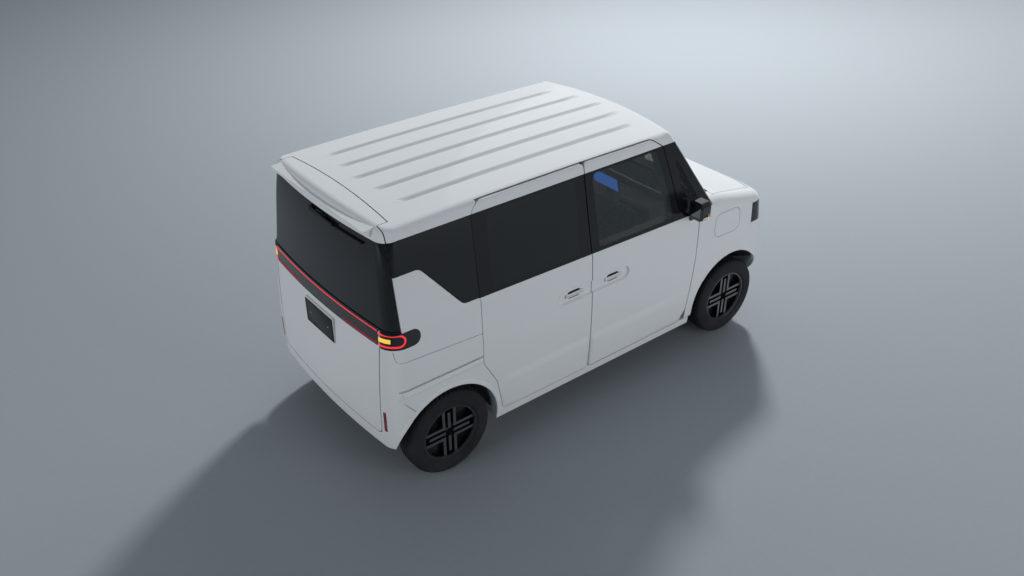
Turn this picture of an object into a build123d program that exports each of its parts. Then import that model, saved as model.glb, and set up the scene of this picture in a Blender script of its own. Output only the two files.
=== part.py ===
from build123d import *
from math import atan2, cos, degrees, pi, radians, sin, sqrt
import os

# Overall sizes in millimetres. X forward, Y left, Z up, origin on the ground under the middle.
LENGTH = 3395.0
WIDTH = 1475.0
HEIGHT = 1800.0
HALF_L = LENGTH / 2
HALF_W = WIDTH / 2
BELT = 1158.0
FRONT_AXLE_X = 1270.0
REAR_AXLE_X = -1250.0
WHEEL_Y = 640.0
TYRE_R = 297.0
TYRE_W = 165.0
RIM_R = 190.0
AXLE_Z = TYRE_R
GAP = 6.5
ROOF_T = 35.0
WALL_T = 75.0
GATE_T = 90.0
DOOR_SKIN = 22.0
FENDER_T = 18.0
GLASS_SET = 6.0
GLASS_T = 5.0
SPINDLE_R = 16.0
FIT = 0.05

# Plan outlines of the lower body: height, side inset, rear inset, front inset.
LOWER_ROWS = [
    (190, 36, 60, 70),
    (340, 16, 10, 18),
    (560, 3, 0, 0),
    (760, 0, 5, 8),
    (960, 6, 15, 26),
    (BELT, 16, 30, 58),
    (1260, 24, 40, 98),
]
# Plan outlines of the cabin top: height, side inset, rear inset, X of the windscreen's middle.
UPPER_ROWS = [
    (BELT, 16, 30, 1090),
    (1430, 54, 50, 905),
    (1711, 93, 80, 715),
    (1840, 113, 110, 626),
]


def plan(z, half, rear, front, rear_bow, front_bow, rear_r, front_r):
    """Closed plan outline with bowed ends and rounded corners."""
    face = make_face(
        [
            ThreePointArc((rear + rear_bow, half), (rear, 0), (rear + rear_bow, -half)),
            Line((rear + rear_bow, -half), (front - front_bow, -half)),
            ThreePointArc((front - front_bow, -half), (front, 0), (front - front_bow, half)),
            Line((front - front_bow, half), (rear + rear_bow, half)),
        ]
    )
    face = fillet(face.vertices().sort_by(Axis.X)[:2], rear_r)
    face = fillet(face.vertices().sort_by(Axis.X)[-2:], front_r)
    return Pos(0, 0, z) * face


def xz_prism(pts, y0, y1, r=None):
    """Prism along Y from an outline of X, Z points."""
    if r is None:
        face = make_face(Polyline(*pts, close=True))
    else:
        face = make_face(FilletPolyline(*pts, radius=r, close=True))
    return extrude(Plane.XZ.offset(-y1) * face, y1 - y0)


def yz_prism(pts, x0, x1, r=None):
    """Prism along X from an outline of Y, Z points."""
    if r is None:
        face = make_face(Polyline(*pts, close=True))
    else:
        face = make_face(FilletPolyline(*pts, radius=r, close=True))
    return extrude(Plane.YZ.offset(x0) * face, x1 - x0)


def xy_prism(pts, z0, z1, r=None):
    """Prism along Z from an outline of X, Y points."""
    if r is None:
        face = make_face(Polyline(*pts, close=True))
    else:
        face = make_face(FilletPolyline(*pts, radius=r, close=True))
    return extrude(Plane.XY.offset(z0) * face, z1 - z0)


def block(x0, x1, y0, y1, z0, z1):
    """Box from its six limits."""
    return Pos((x0 + x1) / 2, (y0 + y1) / 2, (z0 + z1) / 2) * Box(x1 - x0, y1 - y0, z1 - z0)


def flip(shape):
    """Mirror from the right side to the left side."""
    return shape.mirror(Plane.XZ)


def rod(p, q, r):
    """Round bar between two points."""
    v = Vector(*q) - Vector(*p)
    return Plane(origin=p, z_dir=v) * Cylinder(r, v.length, align=(Align.CENTER, Align.CENTER, Align.MIN))


def ycyl(x, y0, y1, z, r):
    """Cylinder along Y."""
    return rod((x, y0, z), (x, y1, z), r)


def crown_tool(top):
    """Space under the crowned roof, whose middle stands at the given height at X = -450."""
    r_long = 50000.0
    r_cross = 9000.0
    x0 = -450.0
    edge = top - (r_cross - sqrt(r_cross**2 - 900**2))
    face = make_face(
        [
            ThreePointArc((-900, edge), (0, top), (900, edge)),
            Line((900, edge), (900, 1000)),
            Line((900, 1000), (-900, 1000)),
            Line((-900, 1000), (-900, edge)),
        ]
    )
    prof = Plane.YZ.offset(x0) * face
    axis = Axis((x0, 0, top - r_long), (0, 1, 0))
    return revolve(prof, axis, 3.0) + revolve(prof, axis, -3.0)


def upper(side, roof, rear, front, edge_r):
    """Cabin top, all faces moved in by the given amounts."""
    raw = loft(
        [plan(z, HALF_W - s - side, -HALF_L + r + rear, x - front, 45, 75, 90, 50) for z, s, r, x in UPPER_ROWS]
    )
    cut = raw & crown_tool(HEIGHT - roof)
    return fillet(cut.faces().sort_by(Axis.Z)[-1].edges(), edge_r)


def lower(side, rear, front, top):
    """Lower body up to the belt or a little over it."""
    return loft(
        [
            plan(z, HALF_W - s - side, -HALF_L + r + rear, HALF_L - f - front, 45, 110, 120, 120)
            for z, s, r, f in LOWER_ROWS
            if z <= top
        ]
    )


def cabin_body(side, roof, rear, front, edge_r, x_max):
    """Closed body from the tail to the given X, with the cabin top."""
    low = lower(side, rear, front, BELT) & block(-2500, x_max, -900, 900, 100, 2000)
    return low + upper(side, roof, rear, front, edge_r)


def nose_body(inset):
    """Closed nose from the doors to the front end, with rounded top edges."""
    pts = [
        (820 - inset, 100),
        (820 - inset, 1215 - inset),
        (1110, 1190 - inset),
        (1560 - inset, 1085 - inset),
        (1720, 980 - inset),
        (1720, 100),
    ]
    nose = lower(inset, 0, inset, 1300) & xz_prism(pts, -900, 900, [0, 0, 600, 160, 0, 0])
    tops = [
        e
        for e in nose.edges()
        if e.bounding_box().min.Z > 1000 - inset and abs(e.center().Y) > 500 and e.length > 150 and e.center().X > 830
    ]
    return fillet(tops, 90 - inset)


OUTER = cabin_body(0, 0, 0, 0, 50, 868)
SKIN = cabin_body(DOOR_SKIN, DOOR_SKIN, DOOR_SKIN, DOOR_SKIN, 30, 868)
RING_OUT = cabin_body(WALL_T + 8, ROOF_T, GATE_T + 10, 60, 18, 868)
RING_IN = cabin_body(WALL_T + 50, ROOF_T + 30, GATE_T + 50, 100, 14, 868)
CABIN = cabin_body(WALL_T, ROOF_T, GATE_T, 45, 20, 868)
NOSE = nose_body(0)
NOSE_IN = nose_body(FENDER_T)
UP_OUT = upper(GLASS_SET, GLASS_SET, GLASS_SET, GLASS_SET, 44)
UP_IN = upper(GLASS_SET + GLASS_T, GLASS_SET + GLASS_T, GLASS_SET + GLASS_T, GLASS_SET + GLASS_T, 40)
GLASS_SHELL = UP_OUT - UP_IN
UPPER_SOLID = upper(0, 0, 0, 0, 50)
SEAT_GAP = 0.3
GLASS_BED = GLASS_SET + GLASS_T + SEAT_GAP
glass_cut = UPPER_SOLID - upper(GLASS_BED, GLASS_BED, GLASS_BED, GLASS_BED, 40)
LINE_DEPTH = 8.0
line_skin = OUTER - cabin_body(LINE_DEPTH, LINE_DEPTH, LINE_DEPTH, LINE_DEPTH, 42, 868)

# Side outlines, X and Z in order round the piece, with a corner radius each.
FRONT_DOOR = [
    (-121, 290, 30),
    (-121, BELT, 0),
    (-150, 1766, 25),
    (430, 1758, 60),
    (528, 1690, 30),
    (594, 1480, 0),
    (655, 1262, 0),
    (700, 1172, 25),
    (866, 1150, 12),
    (864, 1014, 0),
    (852, 781, 0),
    (812, 373, 60),
    (757, 290, 40),
]
SLIDE_DOOR = [
    (-128, 290, 30),
    (-128, BELT, 0),
    (-159, 1766, 25),
    (-1000, 1764, 90),
    (-1000, 720, 60),
    (-900, 545, 80),
    (-842, 290, 30),
]
FRONT_DOOR_WINDOW = [
    (-86, 1680, 35),
    (-58, 1186, 25),
    (612, 1178, 20),
    (560, 1420, 0),
    (470, 1680, 45),
]
SLIDE_DOOR_WINDOW = [(-229, 1680, 35), (-215, 1190, 25), (-905, 1202, 25), (-905, 1680, 60)]
FRONT_QUARTER = [(625, 1625, 12), (712, 1275, 12), (872, 1222, 12)]
# Set-in band of the side windows: its foot, and the foot of the bevel that leads out to the panels.
BAND_TOP = 1698.0
BAND_IN = [
    (-1700, 1496, 0),
    (-1379, 1496, 60),
    (-1120, 1186, 60),
    (1150, 1140, 0),
    (1150, BAND_TOP, 0),
    (-1700, BAND_TOP, 0),
]
BAND_OUT = [
    (-1700, 1472, 0),
    (-1389, 1472, 60),
    (-1127, 1160, 60),
    (1150, 1114, 0),
    (1150, BAND_TOP + 3, 0),
    (-1700, BAND_TOP + 3, 0),
]


def pts_of(rows):
    return [(x, z) for x, z, r in rows]


def radii_of(rows):
    return [r for x, z, r in rows]


def side_prism(rows, y0=-900, y1=-300):
    return xz_prism(pts_of(rows), y0, y1, radii_of(rows))


def grown(rows, by, y0=-900, y1=-300):
    """The same outline, wider by an amount all round (or smaller when negative)."""
    face = make_face(FilletPolyline(*pts_of(rows), radius=radii_of(rows), close=True))
    face = offset(face, by)
    return extrude(Plane.XZ.offset(-y1) * face, y1 - y0)


def band_cut():
    """Space of the set-in band on the right side, bevelled along its foot."""
    z0, z1 = UPPER_ROWS[0][0], UPPER_ROWS[2][0]
    y0, y1 = HALF_W - UPPER_ROWS[0][1], HALF_W - UPPER_ROWS[2][1]
    lean = atan2(y0 - y1, z1 - z0)
    faces = []
    for rows, rise in ((BAND_OUT, 0.6), (BAND_IN, -GLASS_SET)):
        flat = [(x, (z - z0) / cos(lean)) for x, z, r in rows]
        face = make_face(FilletPolyline(*flat, radius=radii_of(rows), close=True))
        place = Plane(
            origin=(0, -y0 - rise * cos(lean), z0 + rise * sin(lean)), x_dir=(1, 0, 0), z_dir=(0, -cos(lean), sin(lean))
        )
        faces.append(place * face)
    return loft(faces, ruled=True)


BAND_CUT = band_cut()
ARCH_F = (1248.0, 338.0, 360.0)
ARCH_R = (-1262.0, 288.0, 368.0)


def arch(which, y0, y1, more=0.0):
    x, z, r = which
    return ycyl(x, y0, y1, z, r + more)


WHEEL_SPACE = arch(ARCH_F, -900, -430) + arch(ARCH_R, -900, -430)
WHEEL_SPACE += block(ARCH_F[0] - 360, ARCH_F[0] + 330, -900, -430, 100, 300)
WHEEL_SPACE += block(ARCH_R[0] - 368, ARCH_R[0] + 368, -900, -430, 100, 288)

parts = {}

# Doors: a skin flange with a thick inner box set in from the edges.
DOOR_INNER_STEP = 24.0
DOOR_TOP_Y = 552.0
ROOF_SIDE_Y = 545.0
shell = OUTER - CABIN


def make_door(rows, window):
    skin = shell & side_prism(rows, -900, -DOOR_TOP_Y)
    ring = side_prism(rows) - grown(rows, -DOOR_INNER_STEP)
    door = skin - (ring & SKIN)
    return door - side_prism(window) - BAND_CUT


# Shared grip hollow across the seam of the two doors, and the bridge over each finger slot.
HANDLE_Z = (886.0, 977.0)
HANDLE_X = (-408.0, 201.0)
HANDLE_FLOOR_Y = -721.0
SLOTS = ((-329.0, -219.0), (8.0, 116.0))
SLOT_Z = (906.0, 959.0)


def pill(x0, x1, z0, z1, y):
    """Flat pill outline facing the right side."""
    return Pos((x0 + x1) / 2, y, (z0 + z1) / 2) * (Plane.XZ * SlotOverall(x1 - x0, z1 - z0))


grip = loft(
    [
        pill(HANDLE_X[0] - 6, HANDLE_X[1] + 6, HANDLE_Z[0] - 6, HANDLE_Z[1] + 6, -741.0),
        pill(HANDLE_X[0] + 8, HANDLE_X[1] - 8, HANDLE_Z[0] + 8, HANDLE_Z[1] - 8, HANDLE_FLOOR_Y),
    ]
)


def add_handle(door, slot):
    """Cut the grip hollow and the finger slot, and bridge the slot with the pull."""
    door -= grip
    door -= xz_prism([(slot[0], SLOT_Z[0]), (slot[1], SLOT_Z[0]), (slot[1], SLOT_Z[1]), (slot[0], SLOT_Z[1])], -745, -700, 20)
    pull = block(slot[0] - 18, slot[1] + 18, HANDLE_FLOOR_Y - 11.5, HANDLE_FLOOR_Y + 1.5, 921, 946)
    pull = fillet(pull.edges().filter_by(Axis.X).sort_by(Axis.Y)[:2], 5)
    return door + (pull - block(slot[0] + 2, slot[1] - 2, HANDLE_FLOOR_Y - 3, HANDLE_FLOOR_Y + 9, 900, 970))


parts["front_door_right"] = add_handle(make_door(FRONT_DOOR, FRONT_DOOR_WINDOW), SLOTS[1])
parts["front_door_left"] = flip(parts["front_door_right"])
parts["slide_door_right"] = add_handle(make_door(SLIDE_DOOR, SLIDE_DOOR_WINDOW), SLOTS[0])
parts["slide_door_left"] = flip(parts["slide_door_right"])

glass = GLASS_SHELL & side_prism(FRONT_DOOR_WINDOW)
parts["front_door_glass_right"] = glass
parts["front_door_glass_left"] = flip(glass)
glass = GLASS_SHELL & side_prism(SLIDE_DOOR_WINDOW)
parts["slide_door_glass"] = Compound(children=[glass, flip(glass)])

# Gate: between the rear quarters low down, round both corners above the lamps, stepped at the roof.
GATE_TOP_Y = 545.0
GATE_SEAM_X = -1552.0
GATE_ROOF_X = -1485.0
GATE_BOW = 20.0
GATE_WRAP_Z = 1172.9
GATE_LOW = [(-604, 440, 40), (604, 440, 40), (622, 1100, 0), (622, 1178, 0), (-622, 1178, 0), (-622, 1100, 0)]
GATE_GLASS_Z = (1180.0, 1696.0)
GATE_WINDOW = [(-556, 1206, 40), (556, 1206, 40), (530, 1660, 50), (-530, 1660, 50)]


def gate_space(by):
    """Space of the gate, wider by an amount along its seams."""
    low = yz_prism(
        [(y + (by if y > 0 else -by), z + (by if z > 1150 else -by if z < 500 else 0)) for y, z, r in GATE_LOW], -1800, -1485 + by, radii_of(GATE_LOW)
    )
    wrap = block(-1800, GATE_SEAM_X + by, -900, 900, GATE_WRAP_Z - by, 1900)
    x, y = GATE_ROOF_X + by, GATE_TOP_Y + by
    top = make_face(
        [
            ThreePointArc((x, -y), (x + GATE_BOW, 0), (x, y)),
            *Polyline((x, y), (-1800, y), (-1800, -y), (x, -y)).edges(),
        ]
    )
    return low + wrap + extrude(Plane.XY.offset(1500 - by) * top, 400 + by)


gate_gap = gate_space(GAP)
gate = shell & gate_space(0)
gate_window = yz_prism(pts_of(GATE_WINDOW), -1800, -1400, radii_of(GATE_WINDOW))
gate -= gate_window
glass_zone = block(-1800, GATE_SEAM_X, -900, 900, *GATE_GLASS_Z)
gate -= glass_cut & block(-1800, GATE_SEAM_X + 1, -900, 900, GATE_GLASS_Z[0] - SEAT_GAP, GATE_GLASS_Z[1] + SEAT_GAP)
parts["tailgate"] = gate
parts["tailgate_glass"] = GLASS_SHELL & glass_zone

# Windscreen opening, seen along X.
SCREEN = [(-600, 1206, 60), (600, 1206, 60), (536, 1716, 70), (-536, 1716, 70)]
screen_hole = yz_prism(pts_of(SCREEN), 560, 1300, radii_of(SCREEN))
parts["windscreen"] = GLASS_SHELL & screen_hole & block(560, 1300, -900, 900, 1100, 1900)

# Rear quarter glass fills the band from the gate's seam to the sliding door.
QUARTER_X = (GATE_SEAM_X + GAP, -1008.0)
rear_glass = GLASS_SHELL & side_prism(BAND_IN) & block(*QUARTER_X, -900, -300, 1100, 1800)
quarter_bed = glass_cut & grown(BAND_IN, SEAT_GAP) & block(-1700, QUARTER_X[1] + SEAT_GAP, -900, -300, 1100, 1800)
quarter_hole = grown(BAND_IN, -26) & block(-1518, -1036, -900, -300, 1100, 1800)
side_glass = rear_glass + (GLASS_SHELL & side_prism(FRONT_QUARTER))
parts["quarter_glass"] = Compound(children=[side_glass, flip(side_glass)])

# Roof, over the doors and between the screens. Its lower edge follows the crown.
ROOF_EDGE_Z = 1773.5
ROOF_FRONT_X = 455.0
ROOF_REAR_X = GATE_SEAM_X + GAP


def roof_edge(x):
    return ROOF_EDGE_Z - (x + 450) ** 2 / 100000


roof_outline = [
    ThreePointArc((ROOF_REAR_X, roof_edge(ROOF_REAR_X)), (-450, ROOF_EDGE_Z), (ROOF_FRONT_X, roof_edge(ROOF_FRONT_X))),
    *Polyline(
        (ROOF_FRONT_X, roof_edge(ROOF_FRONT_X)),
        (690, 1722),
        (800, 1722),
        (800, 1900),
        (ROOF_REAR_X, 1900),
        (ROOF_REAR_X, roof_edge(ROOF_REAR_X)),
    ).edges(),
]
roof_line = extrude(Plane.XZ.offset(-900) * make_face(roof_outline), 1800)
roof_line += block(ROOF_REAR_X, 800, -ROOF_SIDE_Y, ROOF_SIDE_Y, 1700, 1900)
roof = (shell & roof_line) - screen_hole - gate_gap
# Pressed grooves along the crown, each with a ramp at both ends: Y, rear end, front end.
GROOVES = [(-400, -1325, 465), (-200, -1365, 545), (0, -1385, 570), (200, -1365, 545), (400, -1325, 465)]
GROOVE_DEPTH = 5.5
CROWN_LONG = 50000.0
CROWN_CROSS = 9000.0
for y, x0, x1 in GROOVES:
    top = HEIGHT - (CROWN_CROSS - sqrt(CROWN_CROSS**2 - y**2))
    trough = [(y - 34, top + 4), (y - 12, top - GROOVE_DEPTH), (y + 12, top - GROOVE_DEPTH), (y + 34, top + 4)]
    prof = Plane.YZ.offset(-450) * make_face(Polyline(*trough, close=True))
    hub = Axis((-450, 0, HEIGHT - CROWN_LONG), (0, 1, 0))
    run = revolve(prof, hub, 1.8) + revolve(prof, hub, -1.8)
    z0, z1 = (top - (x + 450) ** 2 / CROWN_LONG / 2 for x in (x0, x1))
    ends = [(x0, z0 + 1), (x0 + 70, z0 - 8), (x1 - 70, z1 - 8), (x1, z1 + 1), (x1, 1830), (x0, 1830)]
    mid = [(x0 + 70, z0 - 8), (-450, top - 12), (x1 - 70, z1 - 8), (x1 - 70, 1830), (x0 + 70, 1830)]
    roof -= run & (xz_prism(ends, y - 40, y + 40) + xz_prism(mid, y - 40, y + 40))
parts["roof_panel"] = roof

# Fender, bonnet, lamp and bumper zones of the nose.
FENDER_ZONE = [(775, 290), (1500, 290), (1500, 690), (1436, 870), (1436, 1044), (1700, 1044), (1700, 1300), (775, 1300)]
nose_shell = NOSE - NOSE_IN


def bonnet_zone(by):
    """Plan of the bonnet with bowed ends, grown by an amount."""
    wr, wf = 648 + by, 606 + by
    return extrude(
        Plane.XY.offset(950)
        * make_face(
            [
                ThreePointArc((1062 - by, wr), (1150 - by, 0), (1062 - by, -wr)),
                Line((1062 - by, -wr), (1500 + by, -wf)),
                ThreePointArc((1500 + by, -wf), (1604 + by, 0), (1500 + by, wf)),
                Line((1500 + by, wf), (1062 - by, wr)),
            ]
        ),
        400,
    )


BONNET_GAP = bonnet_zone(GAP)
LAMP_Z = (880.0, 1038.0)
lamp_pts = [(-900, LAMP_Z[0]), (-452, LAMP_Z[0] + 8), (-430, LAMP_Z[1] - 50), (-470, LAMP_Z[1]), (-900, LAMP_Z[1])]
lamp_zone = yz_prism(lamp_pts, 1432, 1800, [0, 40, 40, 40, 0])
lamp_gap = yz_prism(
    [(y + (0 if y == -900 else 0.3), z + (-0.3 if z < 900 else 0.3)) for y, z in lamp_pts], 1431.7, 1800, [0, 40, 40, 40, 0]
)
parts["bonnet"] = nose_shell & bonnet_zone(0) & block(0, 2000, -900, 900, 1030, 1400)
low_cut = block(700, 1900, -900, 900, 50, 215)
intake = yz_prism([(-430, 330), (430, 330), (400, 470), (-400, 470)], 1500, 1800, 40)
wheel_both = WHEEL_SPACE + flip(WHEEL_SPACE)
bumper = nose_shell - xz_prism(FENDER_ZONE[:6] + [(1436, 1044), (1480, 1044), (1480, 1300), (775, 1300)], -900, 900)
bumper -= block(1300, 1900, -900, -605, 1044, 1300) + block(1300, 1900, 605, 900, 1044, 1300)
bumper -= BONNET_GAP
bumper -= lamp_gap + flip(lamp_gap)
bumper -= wheel_both
bumper -= low_cut
bumper -= intake
bumper -= block(700, 1440, -900, 900, 50, 1300)
parts["front_bumper"] = bumper

fender = nose_shell & block(700, 1900, -900, 0, 285, 1300)
fender &= xz_prism(FENDER_ZONE, -900, 900)
fender -= block(1436, 1900, -606, 0, 1000, 1300)
fender -= BONNET_GAP
fender -= grown(FRONT_DOOR, GAP)
fender -= WHEEL_SPACE
fender -= lamp_gap
fender -= UPPER_SOLID
fender -= block(700, 1160, -598.7, 0, 1000, 1300)
parts["fender_left"] = flip(fender)
FLAP = [(1040, 882, 55), (1297, 882, 55), (1297, 1058, 55), (1040, 1058, 55)]
FLAP_IN = nose_body(9.7)
parts["fender_right"] = fender - (grown(FLAP, 4.0, -900, -400) - nose_body(10.0))
parts["charge_flap"] = (NOSE & side_prism(FLAP)) - FLAP_IN

lamp = (NOSE & lamp_zone) - block(1300, 1585, -668, 0, 800, 1100)
lamp -= block(1300, 1500, -640, 0, 800, 1100)
lamp &= block(1432, 1900, -900, -430, 800, 1100)
parts["headlamps"] = Compound(children=[lamp, flip(lamp)])

cowl = nose_shell & block(820, 1160, -598, 598, 1050, 1300)
cowl += shell & block(700, 1200, -598, 598, BELT, 1206)
cowl -= CABIN
cowl -= BONNET_GAP
cowl &= block(820, 1200, -598, 598, 1050, 1206)
parts["cowl_panel"] = cowl

# Body sides with sills, pillars and rear quarters.
side = shell & block(-1800, 1300, -900, -430, 100, 1900)
side -= roof_line
side -= gate_gap
side -= grown(FRONT_DOOR, GAP)
side -= grown(SLIDE_DOOR, 0.3)
side -= line_skin & grown(SLIDE_DOOR, 5.0)
side -= line_skin & block(-1597, -1005, -900, -300, 772, 784)
side -= BAND_CUT
side -= quarter_bed
side -= quarter_hole
side -= block(-960, 420, -900, -300, 1730, 1800)
side -= side_prism(FRONT_QUARTER)
side -= screen_hole
side -= WHEEL_SPACE
side -= block(868, 1300, -598.4, 0, 1100, 1206)
side -= block(-1900, 1300, -900, -300, 100, 229)
REAR_BUMPER_LINE = [(-1900, 735), (-1606, 735), (-1496, 595), (-1496, 100), (-1900, 100)]
side -= xz_prism(REAR_BUMPER_LINE, -900, 900)
side -= xz_prism([(775, 285), (1300, 285), (1300, BELT), (700, BELT), (700, 1100)], -900, -300)
TAIL_LAMP = [(-1427, 1060, 50), (-1427, 1166, 50), (-1800, 1166, 0), (-1800, 1060, 0)]
lamp_skin = OUTER - SKIN
tail_side = block(-1900, -1300, -900, -629, 900, 1300)
side -= grown(TAIL_LAMP, 0.4) & tail_side & lamp_skin
SILL_Y = (-640.0, -600.0)
side += block(-890, 865, SILL_Y[0] - 30, SILL_Y[1], 229, 283)
side += block(-890, 865, SILL_Y[0], SILL_Y[1], 280, 300)
pillar = (RING_OUT - RING_IN) & block(-170, -84, -900, -400, 290, 1776)
side += pillar - block(-200, 0, -900, -546, 1722, 1800)
side += block(806, 930, -634, -600, 1120, 1200) + block(878, 930, -660, -625, 1120, 1180)
side += block(806, 846, -640, -600, 290, 1150)
SEAT = cabin_body(WALL_T + SEAT_GAP, ROOF_T, GATE_T + SEAT_GAP, 45, 20, 868)
side += (block(-1640, -1525, -668, -596, 690, 720) & SEAT) + block(-1545, -1526, -668, -628, 690, 720)
side += block(804, 815, -700, -636, 640, 700) & SEAT
parts["body_side_right"] = side
parts["body_side_left"] = flip(side)
lamp = lamp_skin & side_prism(TAIL_LAMP) & tail_side
parts["tail_lamps"] = Compound(children=[lamp, flip(lamp)])

BAR = [(-616, 1069), (616, 1069), (616, 1176), (-616, 1176)]
bar_zone = yz_prism(BAR, -1800, -1500, 18)
parts["tailgate_lamp"] = lamp_skin & bar_zone
parts["tailgate"] -= lamp_skin & yz_prism([(y * 1.0006, z + (0.4 if z > 1100 else -0.4)) for y, z in BAR], -1800, -1500, 18)
PLATE_HOLES = ((-105.0, 946.0), (105.0, 946.0))
seat = yz_prism([(-172, 856), (172, 856), (172, 1040), (-172, 1040)], -1690, -1640, 12)
parts["tailgate"] += seat
for y, z in PLATE_HOLES:
    parts["tailgate"] -= rod((-1700, y, z), (-1678, y, z), 3.0)
spoiler = xz_prism([(-1520, 1770), (-1520, 1708), (-1560, 1700), (-1630, 1735), (-1630, 1752)], -538, 538, None)
parts["tailgate"] += spoiler

rear_bumper = shell & xz_prism(REAR_BUMPER_LINE, -900, 900)
rear_bumper -= gate_gap
rear_bumper -= wheel_both
rear_bumper -= block(-1900, -1300, -900, 900, 100, 345)
parts["rear_bumper"] = rear_bumper

# Floor, bulkhead, front frame and strut towers.
FLOOR_Z = (300.0, 322.0)
LOAD_Z = (480.0, 502.0)
floor = block(-880, 868, -625, 625, *FLOOR_Z)
floor += block(-880, -860, -625, 625, FLOOR_Z[0], LOAD_Z[1])
floor += block(-1548, -860, -646, 646, *LOAD_Z)
floor += block(-1548, -1523, -500, 500, 350, LOAD_Z[1])
floor += block(848, 868, -598, 598, FLOOR_Z[0], 1150)
floor += block(868, 1560, -372, -322, 420, 500) + block(868, 1560, 322, 372, 420, 500)
floor += block(1530, 1560, -372, 372, 420, 500)
floor += block(1530, 1560, -560, 560, 960, 1000)
for s in (-1, 1):
    floor += block(1530, 1560, min(s * 322, s * 372), max(s * 322, s * 372), 490, 990)
    floor += rod((1545, s * 430, 990), (1545, s * 430, 1100), 12) & nose_body(FENDER_T + 0.3)
    for x in (1150, 1400):
        floor += rod((x, s * 347, 262), (x, s * 347, 440), 15)
for s in (-1, 1):
    floor += block(1180, 1360, min(s * 322, s * 560), max(s * 322, s * 560), 780, 800)
    floor += block(1180, 1360, min(s * 322, s * 342), max(s * 322, s * 342), 480, 800)
for s in (-1, 1):
    floor -= block(805.7, 846.3, min(s * 599, s * 700), max(s * 599, s * 700), 290, 340)
    floor -= block(-170.3, -83.7, min(s * 588, s * 700), max(s * 588, s * 700), 290, 340)
floor -= wheel_both & block(-2000, 0, -900, 900, 0, 2000)
parts["floor_pan"] = floor
parts["battery_pack"] = block(-860, 780, -560, 560, 175, 300)


def liner(which, y0, y1, disc, grow):
    """Curved skin over a wheel, with an inner wall where it closes."""
    x, z, r = which
    r += grow
    t = ycyl(x, y0, y1, z, r) - ycyl(x, y0 - 1, y1 - disc, z, r - 7)
    return t & block(x - 500, x + 500, y0, y1, 300, 900)


LINER_F = (1262.0, 330.0, 378.0)
front_liner = liner(LINER_F, -700, -440, -1, 0) & NOSE_IN
front_liner -= ycyl(0, 0, 1, 0, 1) + rod((FRONT_AXLE_X, -510, 560), (FRONT_AXLE_X, -455, 800), 68)
rear_liner = liner(ARCH_R, -655, -431, 7, 0) & block(-1545, -800, -900, 0, 300, 900)
rear_liner -= block(REAR_AXLE_X - 70, REAR_AXLE_X + 70, -500, -400, 200, 360)
parts["arch_liners"] = Compound(children=[front_liner, flip(front_liner), rear_liner, flip(rear_liner)])

# Wheels: tyre, rim with bars, and what carries them.
TYRE_PROFILE = [
    (RIM_R, -65.7),
    (RIM_R + 7.5, -65.7),
    (RIM_R + 8.5, -74),
    (215, -80),
    (240, -TYRE_W / 2),
    (268, -80),
    (289, -68),
    (TYRE_R, -52),
    (TYRE_R, 52),
    (289, 68),
    (268, 80),
    (240, TYRE_W / 2),
    (215, 80),
    (RIM_R + 8.5, 74),
    (RIM_R + 7.5, 65.7),
    (RIM_R, 65.7),
]


def spun(pts):
    """Solid of revolution about Y from radius, Y pairs."""
    face = make_face(Polyline(*[(r, y) for r, y in pts], close=True))
    return revolve(Plane.XY * face, Axis.Y, 360)


tyre = spun(TYRE_PROFILE)
# Right wheel about its own centre: the face looks towards -Y.
RIM_PROFILE = [
    (RIM_R, -66),
    (RIM_R + 7, -68),
    (RIM_R + 7, -72),
    (RIM_R - 6, -72),
    (RIM_R - 9, -60),
    (176, -30),
    (173, 30),
    (180, 66),
    (RIM_R + 7, 72),
    (RIM_R + 7, 68),
    (RIM_R, 66),
]
rim = spun(RIM_PROFILE)
HUB_R = 66.0
hub = ycyl(0, -42, 0, 0, HUB_R) - ycyl(0, -43, -30, 0, 30)
back_disc = ycyl(0, -22, -10, 0, 176) - ycyl(0, -23, -9, 0, 60)
slots = None
BARS = [(-40, 10, 182), (0, 10, 150), (40, 10, 182)]
for k in range(4):
    for off, half, reach in BARS:
        bar = block(30, reach, -60, -20, off - half, off + half)
        hub += Rotation(0, 90 * k, 0) * bar
    pocket = block(70, 158, -30, -5, 14, 26) + block(70, 158, -30, -5, -26, -14)
    slots = Rotation(0, 90 * k, 0) * pocket if slots is None else slots + Rotation(0, 90 * k, 0) * pocket
hub = hub & ycyl(0, -70, 5, 0, 180)
wheel = rim + (back_disc - slots) + hub
wheel -= ycyl(0, -30, 5, 0, SPINDLE_R + FIT)
for name, x, s in (
    ("front_right", FRONT_AXLE_X, -1),
    ("front_left", FRONT_AXLE_X, 1),
    ("rear_right", REAR_AXLE_X, -1),
    ("rear_left", REAR_AXLE_X, 1),
):
    t = tyre if s < 0 else flip(tyre)
    w = wheel if s < 0 else flip(wheel)
    parts["tyre_" + name] = Pos(x, s * WHEEL_Y, AXLE_Z) * t
    parts["wheel_" + name] = Pos(x, s * WHEEL_Y, AXLE_Z) * w

KING_LOW = (FRONT_AXLE_X, -592.0, 185.0)
KING_TOP = (FRONT_AXLE_X, -455.0, 800.0)


def king_at(z):
    t = (z - KING_LOW[2]) / (KING_TOP[2] - KING_LOW[2])
    return (FRONT_AXLE_X, KING_LOW[1] + t * (KING_TOP[1] - KING_LOW[1]), z)


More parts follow.
